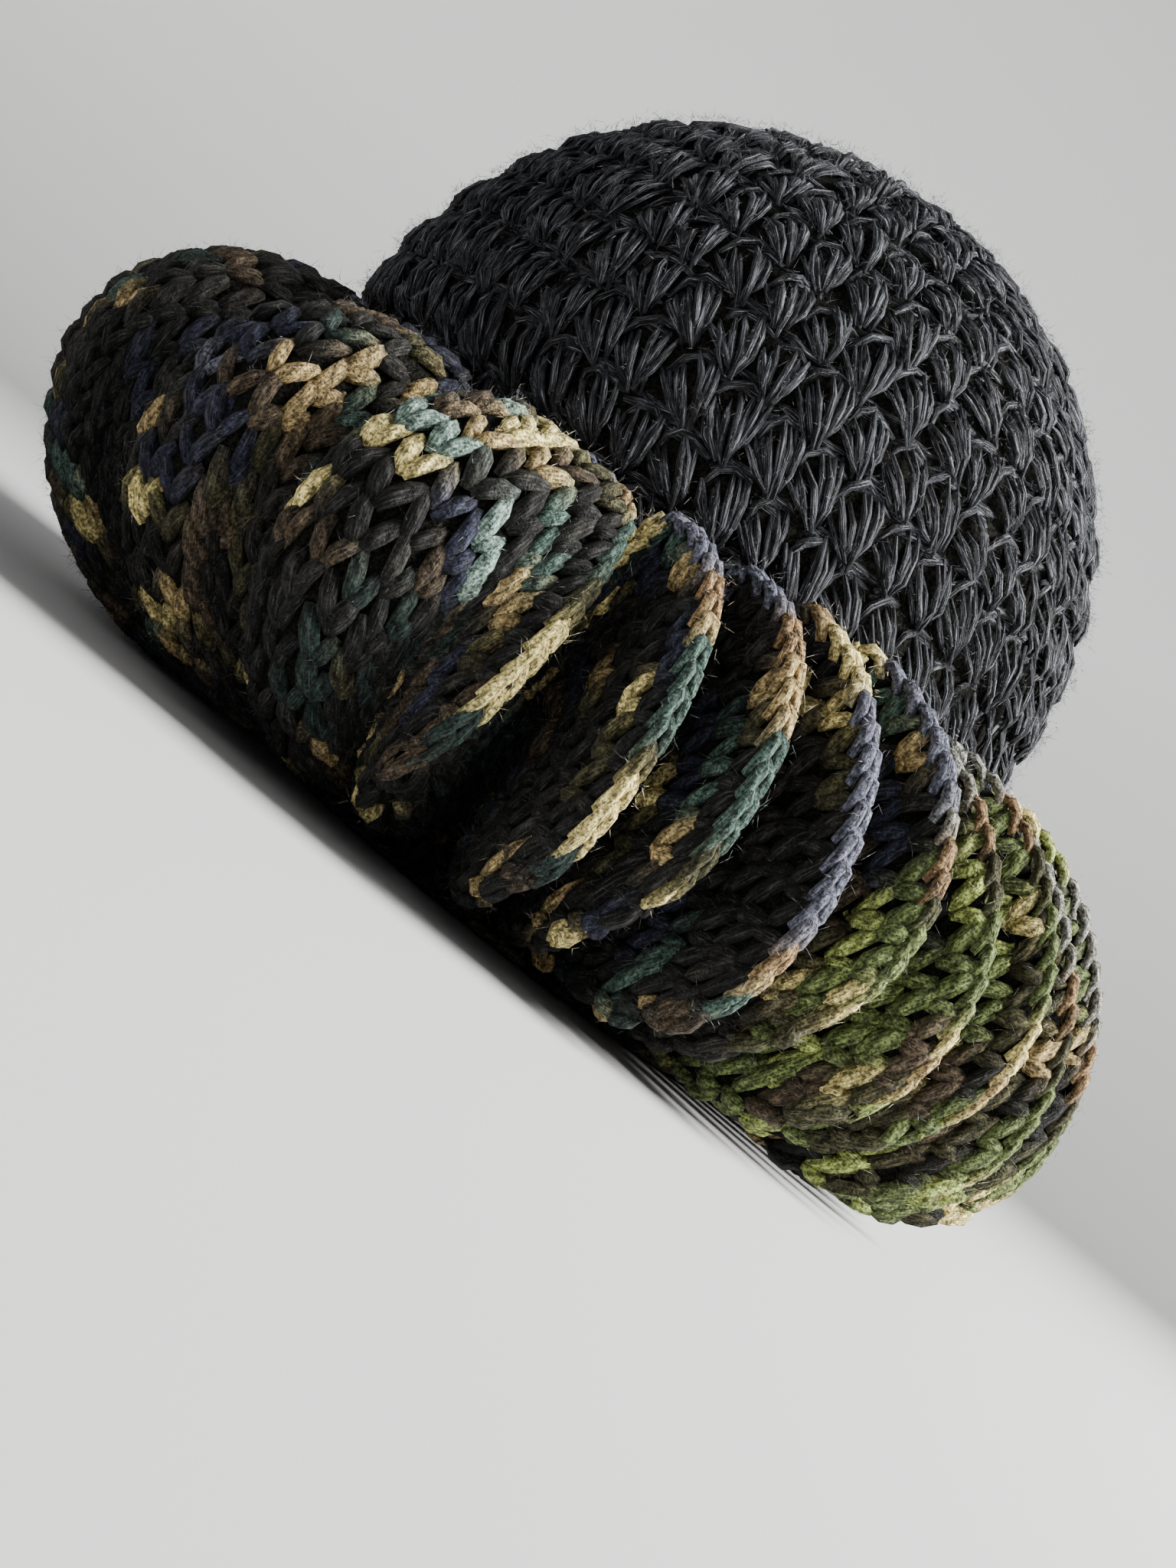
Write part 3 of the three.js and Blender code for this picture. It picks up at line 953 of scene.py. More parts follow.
@dataclass
class Ruffle:
    """The frill: a thin ground of crochet, V stitches on both its faces, and a chain along its edge.

    A leg of a V is a row of controls, each how far it is along the leg and how much of the leg's lift it
    has there. leg_rows is where in its row a leg starts and how far it runs, in rows, and leg_room is what
    a stitch needs beside it. The edge's controls are how far along a stitch, how much of its spread and
    where across the strip. A range multiplies the size or the colour that it is named after. slip is how
    far a leg strays across its row, and meadow is where the greener run of yarn is, in degrees.
    """

    form: FrillForm
    ground_thickness: float = 0.0016
    ground_grid: tuple[int, int] = (20, 12)
    row_height: float = 0.0112
    first_share: float = 0.05
    stitch_width: float = 0.0134
    stitch_jitter: float = 0.07
    slip: float = 0.0008
    yarn_radius: float = 0.00305
    radius_range: Pair = (0.84, 1.16)
    shade_range: Pair = (0.75, 1.25)
    plump: float = 0.72
    leg_start: float = 0.1
    leg_reach: float = 0.46
    leg_lift: Pair = (0.0014, 0.0026)
    leg: tuple[Pair, ...] = ((0.0, 0.2), (0.3, 1.3), (0.72, 1.4), (1.0, 0.1))
    leg_rows: Pair = (0.52, 1.16)
    leg_room: float = 0.3
    edge_spacing: float = 0.0088
    edge_spread: float = 0.0021
    spread_range: Pair = (0.85, 1.2)
    edge_radius: float = 0.0021
    edge_radius_range: Pair = (0.9, 1.15)
    edge_drift: float = 0.1
    edge_blend: float = 0.5
    edge: tuple[Triple, ...] = (
        (-0.3, 0.1, 1.006), (0.2, 0.7, 1.026), (0.75, 1.45, 1.02), (1.2, 1.0, 0.985),
    )
    green_slenderness: float = 0.82
    meadow: Pair = (27.0, 150.0)
    seed: int = 11

    def build(self, crown_shell: bpy.types.Object) -> None:
        """Builds the frill's pieces.

        Args:
            crown_shell: the crown's shell, which hides some of the stitches.
        """
        rng = np.random.default_rng(self.seed)
        ground = placed(self._ground(), CAMOUFLAGE_SLOT, "ruffle")
        sight = Sightlines([ground, crown_shell])
        fine = StrandTemplate(sides=5, steps=3).build()
        plain = StrandTemplate(sides=4, steps=3).build()
        stitches = {
            "left": Strands(fine, self.plump), "back": Strands(plain, self.plump),
            "right": Strands(plain, self.plump), "front": Strands(fine, self.plump),
        }
        self._stitches(stitches, sight, rng)
        edge = Strands(fine, self.plump)
        self._edge(edge, rng)
        made = [work.build(f"ruffle_stitches_{name}", CAMOUFLAGE_YARN) for name, work in stitches.items()]
        made.append(edge.build("ruffle_edge", CAMOUFLAGE_YARN))
        # The fibres' paleness is a painted highlight of lit fibres.
        down = Fuzz(count=46000, steps=1, shortest=0.0015, longest=0.005, radius=0.00008, highlight_paleness=0.1)
        made.append(down.build("ruffle_down", [*stitches.values(), edge], rng))
        lit_hairs = Fuzz(
            count=2600, steps=3, shortest=0.003, longest=0.008, radius=0.00006, highlight_paleness=0.1, flatness=0.3
        )
        made.append(lit_hairs.build("ruffle_hairs", [*stitches.values(), edge, edge], rng))
        pieces = [placed(piece, CAMOUFLAGE_SLOT) for piece in made]
        width, length, area = self.form.area()
        log.info("the strip laid flat: %.3f by %.2f m, %.3f square metres", width, length, area)

    def _ground(self) -> bpy.types.Object:
        """The thin sheet under the stitches: one grid, which turns back on itself at the free edge.

        Returns:
            The new object.
        """
        columns, rows = len(FOLDS) * self.ground_grid[0], self.ground_grid[1]
        bm = bmesh.new()
        bmesh.ops.create_grid(bm, x_segments=columns, y_segments=rows * 2, size=0.5)
        flat = np.array([v.co for v in bm.verts])
        phase, round_about = (flat[:, 0] + 0.5) * len(FOLDS), flat[:, 1] * 2
        share = 1 - np.abs(round_about)
        margin = 0.5 / rows
        inside = (share > margin) & (share < 1 - margin)
        off = np.where(inside, np.sign(round_about) * self.ground_thickness / 2, 0.0)
        places = self.form.at(phase, share) + off[:, None] * self.form.normal(phase, share)
        for vertex, place in zip(bm.verts, places):
            vertex.co = place
        sealed(bm, within=1e-6)
        return finished(bm, "ruffle_cloth", BLACK_GROUND.material())

    def _quarter(self, points: Array) -> Array:
        """Which quarter of the hat each point is in: 0 left, 1 back, 2 right, 3 front."""
        return np.floor((self._angle(points) + QUARTER / 2) / QUARTER).astype(int) % 4

    def _angle(self, points: Array) -> Array:
        """The points' angle from the left side towards the back, in degrees."""
        axis = self.form.hat.axis
        return np.degrees(np.arctan2(points[:, 0] - axis[0], axis[1] - points[:, 1]))

    def _in_green(self, points: Array) -> Array:
        """Whether each point is in the greener run of yarn, at the back, as (count, 1)."""
        angle = self._angle(points)[:, None]
        return (angle > self.meadow[0]) & (angle < self.meadow[1])

    def _dyes(self, points: Array, rng: np.random.Generator) -> Array:
        """Dyes a row.

        Args:
            points: where the row's stitches are.
            rng: the random numbers.

        Returns:
            One colour for each stitch.
        """
        count, start = len(points), rng.random()
        green, plain = MEADOW.stitches(count, start), WOODLAND.stitches(count, start)
        dyes = np.where(self._in_green(points), green, plain)
        for pool in POOLS:
            dyes = pool.dye(points, dyes, rng)
        return dyes

    def _stitches(self, work: dict[str, Strands], sight: Sightlines, rng: np.random.Generator) -> None:
        """Works the rows of V stitches on both faces, where they can be seen.

        Args:
            work: the strands of each quarter, which the stitches are added to.
            sight: tells which stitches can be seen.
            rng: the random numbers.
        """
        widest = self.form.widths[2].max()
        for number in range(int(widest / self.row_height)):
            middle = (number + 0.5) * self.row_height
            phases = self.form.row(middle, self.stitch_width)
            gaps = np.diff(phases, append=phases[0] + len(FOLDS))
            share = self.form.share_at(phases, np.array(middle + self.leg_room * self.row_height))
            wide_enough = share > self.first_share
            phases, gaps = phases[wide_enough], gaps[wide_enough]
            share = self.form.share_at(phases, np.array(middle))
            count = len(phases)
            places = self.form.at(phases, share)
            dyes = self._dyes(places, rng)
            for side in (1.0, -1.0):
                facing = side * self.form.normal(phases, share)
                seen = sight.seen(places, facing)
                for way, beside in ((self.leg_reach, -1), (-self.leg_reach, 1)):
                    roots = phases + self.leg_start * way * gaps
                    tips = phases + way * gaps + rng.normal(0.0, self.stitch_jitter, count) * gaps
                    slip = rng.normal(0.0, self.slip, count)
                    lift = side * rng.uniform(*self.leg_lift, count)
                    controls = self._curve(roots, tips, middle + slip, lift)
                    radii = self.yarn_radius * rng.uniform(*self.radius_range, count)
                    shades = blended(dyes, np.roll(dyes, beside, axis=0))
                    shades = shades * rng.uniform(*self.shade_range, (count, 1, 1))
                    self._share_out(work, controls[seen], facing[seen], radii[seen], shades[seen])

    def _curve(self, from_phase: Array, to_phase: Array, middle: Array, lift: Array) -> Array:
        """The curves of stitches' legs over the strip's face, from its base side to its edge side.

        Args:
            from_phase: the phases where the legs start.
            to_phase: the phases where they end.
            middle: how far their middles are from the free edge.
            lift: how far the legs' middles stand off the middle surface, negative on its back.

        Returns:
            Controls, as (count, 4, 3).
        """
        controls = []
        first_row, rows = self.leg_rows
        for part, rise in self.leg:
            phase = from_phase + (to_phase - from_phase) * part
            share = self.form.share_at(phase, middle + self.row_height * (first_row - rows * part))
            off = (lift * rise)[:, None] * self.form.normal(phase, share)
            controls.append(self.form.at(phase, share) + off)
        return np.stack(controls, axis=1)

    def _share_out(
        self, work: dict[str, Strands], controls: Array, ups: Array, radii: Array, dyes: Array
    ) -> None:
        """Adds each strand to its quarter's work.

        Args:
            work: the strands of each quarter, in order.
            controls: the new strands' controls.
            ups: the way that each one's flat side faces.
            radii: each one's radius.
            dyes: each one's colours.
        """
        quarter = self._quarter(controls[:, 1])
        for index, strands in enumerate(work.values()):
            chosen = quarter == index
            strands.add(controls[chosen], ups[chosen], radii[chosen], dyes[chosen])

    def _edge(self, work: Strands, rng: np.random.Generator) -> None:
        """Works the chain along the free edge: Vs in a line, each tucked under the one before.

        Args:
            work: the strands that it is added to.
            rng: the random numbers.
        """
        phases = self.form.row(0.0, self.edge_spacing)
        gaps = np.diff(phases, append=phases[0] + len(FOLDS))
        count = len(phases)
        green = self._in_green(self.form.at(phases, 1.0))
        drift = rng.normal(0.0, self.edge_drift, len(FOLDS))
        repeats = phases + np.interp(phases, np.arange(len(FOLDS)), drift)
        dyes = np.where(green, MEADOW_EDGE.shares(repeats), WOODLAND_EDGE.shares(repeats))
        slender = np.where(green[:, 0], self.green_slenderness, 1.0)
        for side in (1.0, -1.0):
            controls = []
            spread = side * self.edge_spread * slender * rng.uniform(*self.spread_range, count)
            for part, wide, share in self.edge:
                phase = phases + part * gaps
                off = (spread * wide)[:, None] * self.form.normal(phase, 1.0)
                controls.append(self.form.at(phase, share) + off)
            ups = side * self.form.normal(phases, 1.0)
            radii = self.edge_radius * slender * rng.uniform(*self.edge_radius_range, count)
            shades = blended(dyes, np.roll(dyes, -1, axis=0), self.edge_blend)
            work.add(np.stack(controls, axis=1), ups, radii, shades)


@dataclass
class Fuzz:
    """Loose fibres that stand off the yarn, greyer than it and lightened with a painted highlight of lit
    fibres.

    A fibre's root is anywhere in a range between its strand's middle controls, at a height in radii of
    the yarn. Spreads and flatness are random turns of a way of length one, flatness along the yarn, and
    reaches are shares of the fibre's length.
    """

    count: int
    steps: int
    shortest: float
    longest: float
    radius: float
    # How far a fibre may be lightened at random: a painted highlight of lit fibres.
    highlight_paleness: float
    flatness: float = 1.1
    spread: float = 1.0
    drift_spread: float = 1.2
    stray_spread: float = 0.8
    root_range: Pair = (-0.15, 1.15)
    root_height: float = 0.75
    reaches: Triple = (0.4, 0.3, 0.4)
    # Scales a fibre's colour mixed with its grey, which lightens it: a painted highlight.
    lightness: float = 0.65

    def build(self, name: str, work: list[Strands], rng: np.random.Generator) -> bpy.types.Object:
        """Grows the fibres.

        Args:
            name: the piece's name.
            work: the strands that they grow from.
            rng: the random numbers.

        Returns:
            The new object.
        """
        controls = np.concatenate([c for w in work for c in w.controls])
        ups = np.concatenate([u for w in work for u in w.ups])
        radii = np.concatenate([r for w in work for r in w.radii])
        dyes = np.concatenate([d for w in work for d in w.dyes]).mean(axis=1)
        chosen = rng.integers(0, len(controls), self.count)
        along = unit(controls[chosen, 3] - controls[chosen, 0])
        way = unit(ups[chosen] + rng.normal(0.0, self.spread, (self.count, 3)))
        part = rng.uniform(*self.root_range, (self.count, 1))
        root = controls[chosen, 1] * (1 - part) + controls[chosen, 2] * part
        root = root + way * radii[chosen, None] * self.root_height
        way = unit(way + along * rng.normal(0.0, self.flatness, (self.count, 1)))
        length = rng.uniform(self.shortest, self.longest, (self.count, 1))
        drift = unit(way + along * rng.normal(0.0, self.drift_spread, (self.count, 1)))
        stray = unit(drift + rng.normal(0.0, self.stray_spread, (self.count, 3)))
        curve = [root]
        for towards, reach in zip((unit(way + drift), drift, stray), self.reaches):
            curve.append(curve[-1] + towards * length * reach)
        fibres = Strands(StrandTemplate(sides=3, steps=self.steps, sharp=True).build(), plump=1.0)
        own = dyes[chosen]
        grey = own.mean(axis=1, keepdims=True)
        # Painted highlight: each fibre is lightened and greyed from its strand's dye, some of them pale.
        highlit_colour = (own + grey) * self.lightness + self.highlight_paleness * rng.random((self.count, 1)) ** 2
        fibres.add(np.stack(curve, axis=1), way, np.full(self.count, self.radius), blended(highlit_colour, highlit_colour))
        return fibres.build(name, HAIR, flatness=1.0)


@dataclass(frozen=True)
class PuffStrand:
    """One strand of a puff stitch: a path in millimetres along the round, up the puff and outwards."""

    path: tuple[Triple, ...]
    radius: float
    leans: bool = True


def puff_strands() -> tuple[PuffStrand, ...]:
    """The strands of a puff: two legs that fan from a tip, and three strands that cross behind them.

    Returns:
        The strands, each leg's four before the three.
    """
    strands = []
    for side, top, bend in ((1.0, 11.6, 3.6), (-1.0, 7.6, 0.8)):
        for number in range(4):
            path = (
                (side * (0.3 + 0.4 * number), -12.0 + 0.8 * number, -1.0),
                (side * (1.6 + 1.15 * number), -7.0, 3.6 - 0.4 * number),
                (side * (2.0 + 1.85 * number), bend, 4.0 - 0.8 * number),
                (side * (2.2 + 1.9 * number), top - 0.7 * number, -1.6),
            )
            strands.append(PuffStrand(path, 1.15))
    arch = ((-7.4, 4.6, -2.4), (-3.2, 12.0, 0.0), (3.6, 13.6, 0.0), (7.6, 8.8, -2.5))
    strands.append(PuffStrand(arch, 1.4))
    low = ((-8.6, 9.0, -3.0), (-3.0, 11.0, -1.6), (3.0, 11.0, -1.6), (8.6, 9.0, -3.0))
    strands.append(PuffStrand(low, 1.6, leans=False))
    high = ((-8.6, 13.0, -3.2), (-3.0, 14.4, -1.8), (3.0, 12.0, -1.8), (8.6, 13.6, -3.2))
    strands.append(PuffStrand(high, 1.6, leans=False))
    return tuple(strands)


@dataclass
class Crown:
    """The balloon crown: a dark shell, closed over by rounds of puff stitches.

    A round's shift and its puffs' jitter are shares of a puff's width. A range multiplies the size or the
    colour that it is named after, and stray is how far a strand's controls are from their places.
    """

    hat: HatForm
    first_round: float = 0.072
    round_height: float = 0.0215
    puff_width: float = 0.0164
    fewest_puffs: int = 5
    puff_size_range: Pair = (0.9, 1.12)
    shift: float = -0.82
    jitter: float = 0.04
    slant: float = math.radians(-28)
    slant_spread: float = 0.11
    crossing_slant: float = 0.25
    stand_off_mm: float = 1.6
    strand_range: Pair = (0.88, 1.14)
    stray: float = 0.00095
    shade_range: Pair = (0.6, 1.9)
    flare_points: int = 65
    dome_points: int = 97
    depth: float = 0.0045
    step_along: float = 0.002
    step_round: float = 0.01
    shell_grid: tuple[int, int] = (96, 48)
    dimple: float = 0.0007
    dimple_fade_radius: float = 0.05
    seed: int = 5

    def profile(self, along: Array, depth: float = 0.0) -> tuple[Array, Array]:
        """The crown's side.

        Args:
            along: the distance up the side from its bottom.
            depth: how far inside the crown's outer face.

        Returns:
            The distance from the axis and the height.
        """
        start = self.hat.band_radius
        widest = self.hat.crown_radius
        rise = self.hat.widest_height - self.hat.band_height
        fine = np.linspace(0.0, 1.0, self.flare_points)
        out = start + (widest - start) * np.sin(fine * math.pi / 2)
        up = self.hat.band_height + rise * fine
        dome = np.linspace(0.0, math.pi / 2, self.dome_points)[1:]
        out = np.concatenate([out, widest * np.cos(dome)])
        up = np.concatenate([up, self.hat.widest_height + widest * np.sin(dome)])
        length = np.concatenate([[0.0], np.cumsum(np.hypot(np.diff(out), np.diff(up)))])
        radius, height = np.interp(along, length, out), np.interp(along, length, up)
        over = np.clip((height - self.hat.widest_height) / widest, 0.0, 1.0)
        return radius - depth * np.sqrt(1 - over**2), height - depth * over

    @property
    def side_length(self) -> float:
        """The length of the crown's side.

        Returns:
            The length from its bottom to the middle of its top.
        """
        rise = self.hat.widest_height - self.hat.band_height
        fine = np.linspace(0.0, 1.0, self.flare_points)
        out = (self.hat.crown_radius - self.hat.band_radius) * np.sin(fine * math.pi / 2)
        flare = np.hypot(np.diff(out), np.diff(rise * fine)).sum()
        return float(flare + self.hat.crown_radius * math.pi / 2)

    def at(self, angle: Array, along: Array, depth: float = 0.0) -> Array:
        """Points of the crown's outer face, or inside it by a depth."""
        radius, height = self.profile(np.asarray(along, float), depth)
        return self.hat.around(np.asarray(angle, float), radius, height)

    def build(self) -> bpy.types.Object:
        """Builds the crown's pieces.

        Returns:
            The shell.
        """
        rng = np.random.default_rng(self.seed)
        shape = StrandTemplate(sides=4, steps=3).build()
        work = {"lower": Strands(shape), "top": Strands(shape)}
        rounds = int((self.side_length - self.first_round) / self.round_height)
        for number in range(rounds):
            along = self.first_round + (number + 0.5) * self.round_height
            self._round(work["lower" if number < rounds / 2 - 1 else "top"], number, along, rng)
        for name, strands in work.items():
            placed(strands.build(f"crown_puffs_{name}", BLACK_YARN), BLACK_SLOT)
        # The fibres' paleness is a painted highlight of lit fibres.
        down = Fuzz(count=28500, steps=1, shortest=0.0015, longest=0.0045, radius=0.00008, highlight_paleness=0.12)
        placed(down.build("crown_down", list(work.values()), rng), BLACK_SLOT)
        return placed(self._shell(), BLACK_SLOT, "crown")

    def _round(self, work: Strands, number: int, along: float, rng: np.random.Generator) -> None:
        """Works one round of puffs.

        Args:
            work: the strands that the round is added to.
            number: the round's number, for its shift.
            along: how far up the side the round is.
            rng: the random numbers.
        """
        radius = float(self.profile(np.array(along))[0])
        count = max(self.fewest_puffs, round(math.tau * radius / self.puff_width))
        angle = (np.arange(count) + self.shift * number) * math.tau / count
        angle = angle + rng.normal(0.0, self.jitter, count) * math.tau / count
        turn, step = self.step_round, self.step_along
        middle = self.at(angle, along, self.depth)
        sideways = unit(self.at(angle + turn, along) - self.at(angle - turn, along))
        upwards = unit(self.at(angle, along + step) - self.at(angle, along - step))
        outwards = unit(np.cross(sideways, upwards))
        narrowing = min(1.0, math.tau * radius / count / self.puff_width)
        slant = self.slant + rng.normal(0.0, self.slant_spread, count)
        size = rng.uniform(*self.puff_size_range, (count, 1))
        black = np.array(Dye.JET.value)
        for strand in puff_strands():
            lean = slant if strand.leans else slant * self.crossing_slant
            cosine, sine = np.cos(lean)[:, None], np.sin(lean)[:, None]
            way_up = cosine * upwards + sine * sideways
            way_along = cosine * sideways - sine * upwards
            controls = []
            for x, y, z in strand.path:
                flat = (way_along * x * narrowing + way_up * y) * MM * size
                off = outwards * (z + self.stand_off_mm) * MM
                controls.append(middle + flat + off + rng.normal(0.0, self.stray, (count, 3)))
            radii = strand.radius * MM * rng.uniform(*self.strand_range, count)
            dyes = black * rng.uniform(*self.shade_range, (count, 1))
            work.add(np.stack(controls, axis=1), outwards, radii, blended(dyes, dyes))

    def _shell(self) -> bpy.types.Object:
        """The shell under the puffs, whose inside is dimpled as the back of the stitches is.

        Returns:
            The new object.
        """
        columns, rows = self.shell_grid
        bm = bmesh.new()
        bmesh.ops.create_grid(bm, x_segments=columns, y_segments=rows, size=0.5)
        flat = np.array([v.co for v in bm.verts])
        angle = (flat[:, 0] + 0.5) * math.tau
        along = (flat[:, 1] + 0.5) * self.side_length
        puffs = math.tau * self.hat.crown_radius / self.puff_width
        dimple = np.cos(angle * round(puffs)) * np.cos(along * math.tau / self.round_height)
        radius, height = self.profile(along, self.depth)
        fade = np.clip(radius / self.dimple_fade_radius, 0.0, 1.0)
        radius = radius + self.dimple * dimple * fade
        for vertex, place in zip(bm.verts, self.hat.around(angle, np.maximum(radius, 0.0), height)):
            vertex.co = place
        sealed(bm)
        bmesh.ops.solidify(bm, geom=bm.faces[:], thickness=self.hat.crown_wall - self.depth)
        return finished(bm, "crown_shell", BLACK_GROUND.material())


@dataclass
class RimBand:
    """The band that goes round the head: a ground, V stitches inside and out, and a chain under it.

    A leg of a V is a row of controls, each how far it is along the leg, up the row and off the ground.
    The chain's are how far along a link and how far to its side.
    """

    hat: HatForm
    stitch_width: float = 0.0132
    rows: int = 2
    bottom: float = 0.0035
    top_margin: float = 0.004
    row_cover: float = 0.98
    yarn_radius: float = 0.0026
    radius_range: Pair = (0.92, 1.1)
    flatness: float = 0.7
    leg_reach: float = 0.45
    leg: tuple[Triple, ...] = ((0.0, 0.0, 0.25), (0.33, 0.35, 1.0), (0.67, 0.72, 1.05), (1.0, 1.12, 0.2))
    leg_start_off: float = 0.001
    leg_off: float = 0.0009
    link_length: float = 0.0105
    link: tuple[Pair, ...] = ((-0.1, 0.2), (0.3, 1.0), (0.8, 1.1), (1.25, 0.2))
    link_spread: float = 0.0016
    ground_inset: float = 0.0015
    ground_bottom: float = 0.002
    ground_steps: int = 120
    seed: int = 3

    @property
    def middle(self) -> float:
        """The radius of the middle of the band's wall."""
        return self.hat.band_radius - self.hat.band_wall / 2

    def build(self) -> None:
        """Builds the band's pieces."""
        rng = np.random.default_rng(self.seed)
        work = Strands(StrandTemplate(sides=5, steps=4).build())
        count = round(math.tau * self.middle / self.stitch_width)
        step = math.tau / count
        row_height = (self.hat.band_height - self.top_margin) / self.rows
        for row in range(self.rows):
            angle = (np.arange(count) + 0.5 * (row % 2)) * step
            dyes = WOODLAND.stitches(count, rng.random())
            for side in (1.0, -1.0):
                for way in (self.leg_reach, -self.leg_reach):
                    controls = []
                    for turn, up, out in self.leg:
                        radius = self.middle + side * (self.leg_start_off + self.leg_off * out)
                        height = self.bottom + (row + up) * row_height * self.row_cover
                        controls.append(self.hat.around(angle + way * step * turn, radius, height))
                    outwards = unit(controls[1] - np.array([*self.hat.axis, 0.0])) * (1.0, 1.0, 0.0)
                    radii = self.yarn_radius * rng.uniform(*self.radius_range, count)
                    work.add(np.stack(controls, axis=1), side * outwards, radii, blended(dyes, dyes))
        self._chain(work, rng)
        placed(work.build("rim_stitches", CAMOUFLAGE_YARN, self.flatness), CAMOUFLAGE_SLOT)
        placed(self._shell(), CAMOUFLAGE_SLOT, "rim_band")

    def _chain(self, work: Strands, rng: np.random.Generator) -> None:
        """Works the chain that the hat rests on.

        Args:
            work: the strands that it is added to.
            rng: the random numbers.
        """
        count = round(math.tau * self.middle / self.link_length)
        step = math.tau / count
        angle = np.arange(count) * step
        dyes = WOODLAND.stitches(count, rng.random())
        ups = np.tile((0.0, 0.0, -1.0), (count, 1))
        for side in (1.0, -1.0):
            controls = []
            for turn, out in self.link:
                radius = self.middle + side * self.link_spread * out
                controls.append(self.hat.around(angle + turn * step, radius, self.yarn_radius))
            work.add(np.stack(controls, axis=1), ups, np.full(count, self.yarn_radius), blended(dyes, dyes))

    def _shell(self) -> bpy.types.Object:
        """The ground under the band's stitches: a ring turned round the axis, which then leans.

        Returns:
            The new object.
        """
        half = self.hat.band_wall / 2 - self.ground_inset
        inner, outer = self.middle - half, self.middle + half
        bottom, top = self.ground_bottom, self.hat.band_height
        bm = bmesh.new()
        ring = [bm.verts.new((*self.hat.axis, 0.0)) for _ in range(4)]
        for vertex, (out, up) in zip(ring, ((inner, bottom), (outer, bottom), (outer, top), (inner, top))):
            vertex.co += Vector((0.0, -out, up))
        edges = [bm.edges.new(pair) for pair in zip(ring, ring[1:] + ring[:1])]
        bmesh.ops.spin(
            bm, geom=ring + edges, cent=(*self.hat.axis, 0.0), axis=(0, 0, 1),
            angle=math.tau, steps=self.ground_steps, use_merge=True,
        )
        sealed(bm)
        lean = self.hat.lean_forward / self.hat.widest_height
        for vertex in bm.verts:
            vertex.co.x -= lean * vertex.co.z
        return finished(bm, "rim_shell", BLACK_GROUND.material(), smooth=False)


@dataclass(frozen=True)
class Lamp:
    """A square soft light that faces the hat, with its side in metres and its power in watts."""

    name: str
    place: Triple
    side: float
    power: float
    tint: Rgb
    aim: Triple = (0.0, 0.0, 0.14)

    def build(self) -> None:
        """Builds the light."""
        data = bpy.data.lights.new(self.name, "AREA")
        data.size = self.side
        data.energy = self.power
        data.color = self.tint
        light = bpy.data.objects.new(self.name, data)
        light.location = self.place
        towards = Vector(self.aim) - Vector(self.place)
        light.rotation_euler = towards.to_track_quat("-Z", "Y").to_euler()
        bpy.context.scene.collection.objects.link(light)


LAMPS = (
    Lamp("key_light", (1.5, -0.3, 1.25), 1.2, 250.0, (1.0, 0.99, 0.97)),
    Lamp("fill_light", (-1.3, -1.5, 0.9), 1.6, 2.0, (0.92, 0.96, 1.0)),
    Lamp("top_light", (0.2, -0.6, 1.9), 1.2, 2.5, (1.0, 1.0, 1.0)),
)


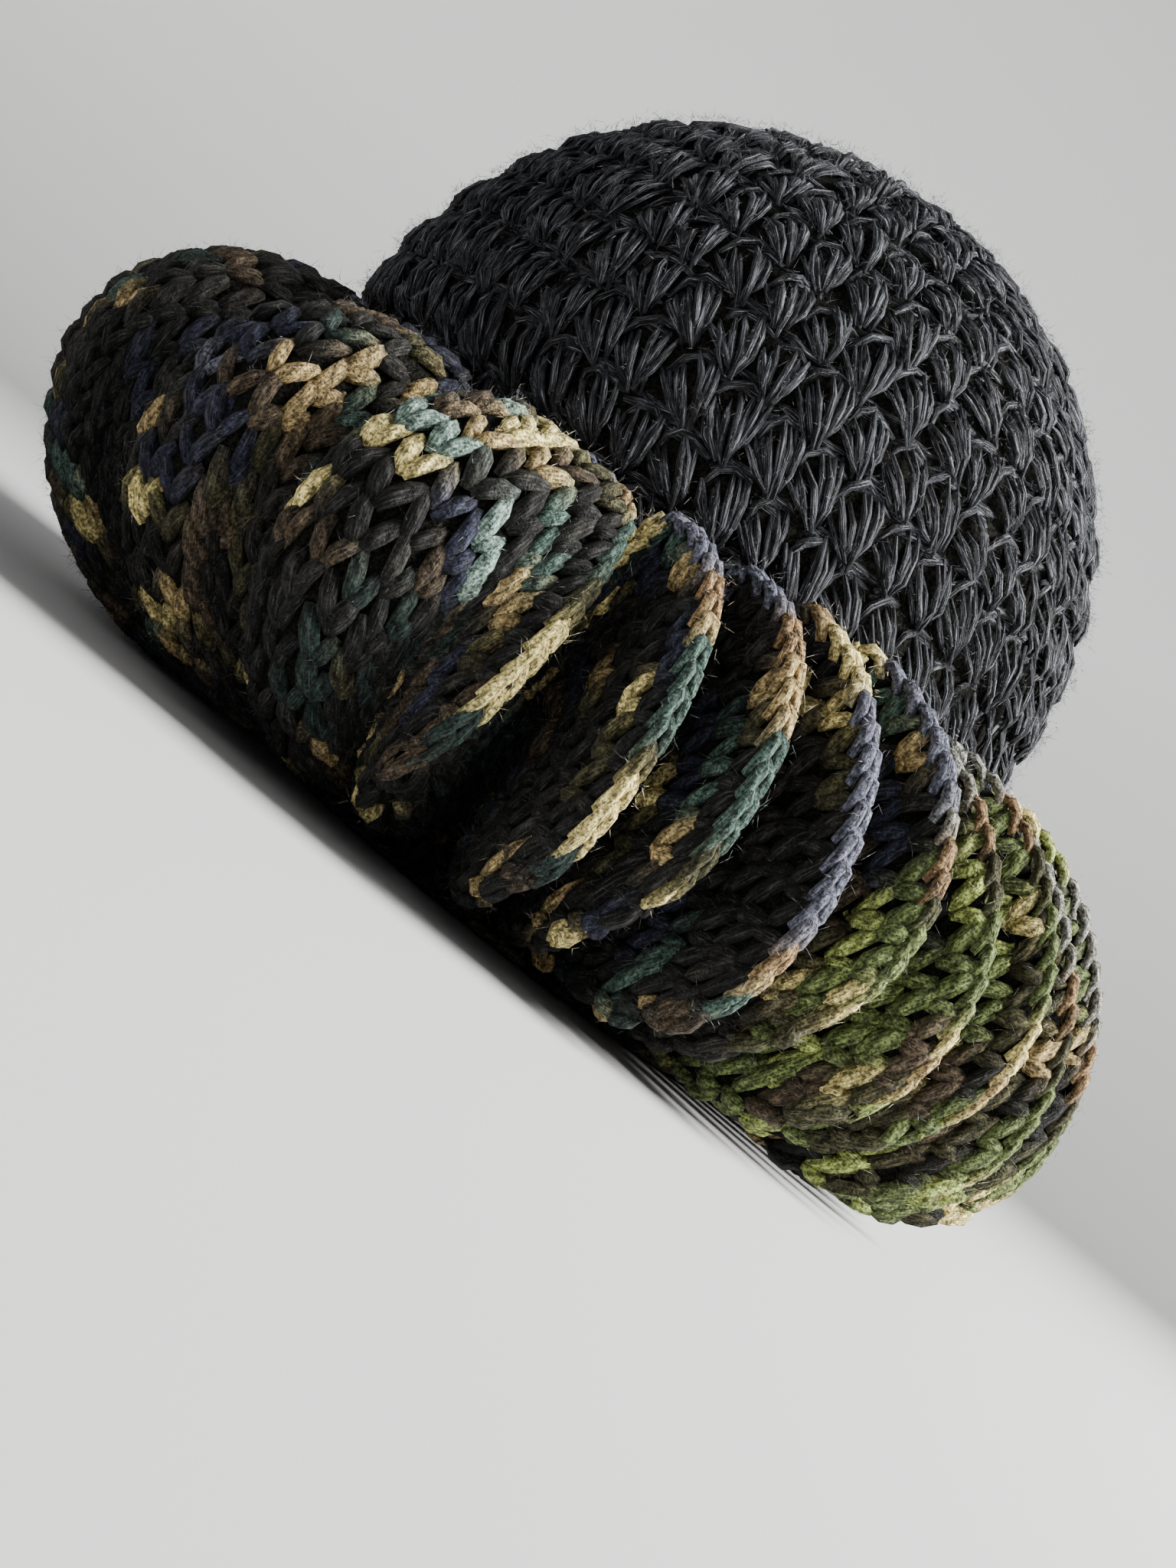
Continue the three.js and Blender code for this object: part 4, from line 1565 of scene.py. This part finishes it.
@dataclass
class Studio:
    """A pale bowl to stand in, soft light, and the camera at the photograph's angle."""

    hat: HatForm
    floor_radius: float = 2.2
    wall_height: float = 2.4
    bend_radius: float = 0.6
    bend_steps: int = 8
    bowl_steps: int = 96
    paper_roughness: float = 0.9
    paper_heights: Pair = (0.0, 0.7)
    paper_shades: Pair = (0.42, 0.62)
    sky: Rgb = (0.86, 0.9, 1.0)
    sky_strength: float = 0.16
    distance: float = 0.85
    roll: float = math.radians(39)
    sensor_width: float = 36.0
    nearest: float = 0.05
    frame_height: float = 0.54
    ring_height: float = 0.072
    target_shift: Pair = (-0.0074, -0.0124)

    def build(self) -> None:
        """Builds the bowl, the lights and the camera."""
        self._bowl()
        self._world()
        for lamp in LAMPS:
            lamp.build()
        self._camera()

    def _bowl(self) -> None:
        """A floor that turns up into a wall all round."""
        profile = [(0.0, 0.0), (self.floor_radius, 0.0)]
        for step in range(1, self.bend_steps + 1):
            angle = step / self.bend_steps * math.pi / 2
            out = self.floor_radius + self.bend_radius * math.sin(angle)
            profile.append((out, self.bend_radius * (1 - math.cos(angle))))
        profile.append((self.floor_radius + self.bend_radius, self.wall_height))
        bm = bmesh.new()
        line = [bm.verts.new((out, 0.0, up)) for out, up in profile]
        edges = [bm.edges.new(pair) for pair in zip(line, line[1:])]
        bmesh.ops.spin(
            bm, geom=line + edges, cent=(0, 0, 0), axis=(0, 0, 1),
            angle=math.tau, steps=self.bowl_steps, use_merge=True,
        )
        sealed(bm)
        finished(bm, "studio_bowl", self._paper())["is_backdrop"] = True

    def _paper(self) -> bpy.types.Material:
        """The bowl's paper, which is paler up the wall than on the floor.

        Returns:
            The material.
        """
        material = bpy.data.materials.new("studio_paper")
        material.use_nodes = True
        nodes = Nodes(material.node_tree)
        shader = nodes.tree.nodes["Principled BSDF"]
        shader.inputs["Roughness"].default_value = self.paper_roughness
        place = nodes.add("TexCoord", {}).outputs["Object"]
        parts = nodes.add("SeparateXYZ", {0: place}).outputs
        shade = nodes.ranged(parts["Z"], self.paper_heights, self.paper_shades)
        nodes.tree.links.new(shade, shader.inputs["Base Color"])
        return material

    def _world(self) -> None:
        """An even, pale sky."""
        world = bpy.data.worlds.new("studio_sky")
        world.use_nodes = True
        background = world.node_tree.nodes["Background"]
        background.inputs["Color"].default_value = (*self.sky, 1.0)
        background.inputs["Strength"].default_value = self.sky_strength
        bpy.context.scene.world = world
        bpy.context.scene.view_settings.look = "AgX - Base Contrast"

    def _camera(self) -> None:
        """The camera looks along +Y at the frill's height, turned so that the hat's axis leans right."""
        data = bpy.data.cameras.new("camera")
        data.sensor_width = self.sensor_width
        data.lens = self.sensor_width * self.distance / self.frame_height
        data.clip_start = self.nearest
        camera = bpy.data.objects.new("camera", data)
        right = Vector((math.cos(self.roll), 0.0, math.sin(self.roll)))
        up = Vector((-math.sin(self.roll), 0.0, math.cos(self.roll)))
        target = Vector((self.hat.axis[0], 0.0, self.ring_height))
        target += right * self.target_shift[0] + up * self.target_shift[1]
        place = target + Vector((0.0, -self.distance, 0.0))
        turn = Matrix((right, up, right.cross(up))).transposed().to_4x4()
        camera.matrix_world = Matrix.Translation(place) @ turn
        bpy.context.scene.collection.objects.link(camera)
        bpy.context.scene.camera = camera


def write_sizes() -> None:
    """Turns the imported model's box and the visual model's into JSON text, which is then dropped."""
    boxes = {"cad": CAD_BOX, "visual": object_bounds()}
    json.dumps({k: [list(c) for c in box] for k, box in boxes.items()})


def main() -> None:
    """Builds the hat in its studio."""
    logging.basicConfig(level=logging.INFO, format="%(message)s")
    hat = HatForm.from_frame()
    log.info("hat form: %s", hat)
    Studio(hat).build()
    RimBand(hat).build()
    shell = Crown(hat).build()
    Ruffle(FrillForm(hat)).build(shell)
    write_sizes()


if __name__ == "__main__":
    main()
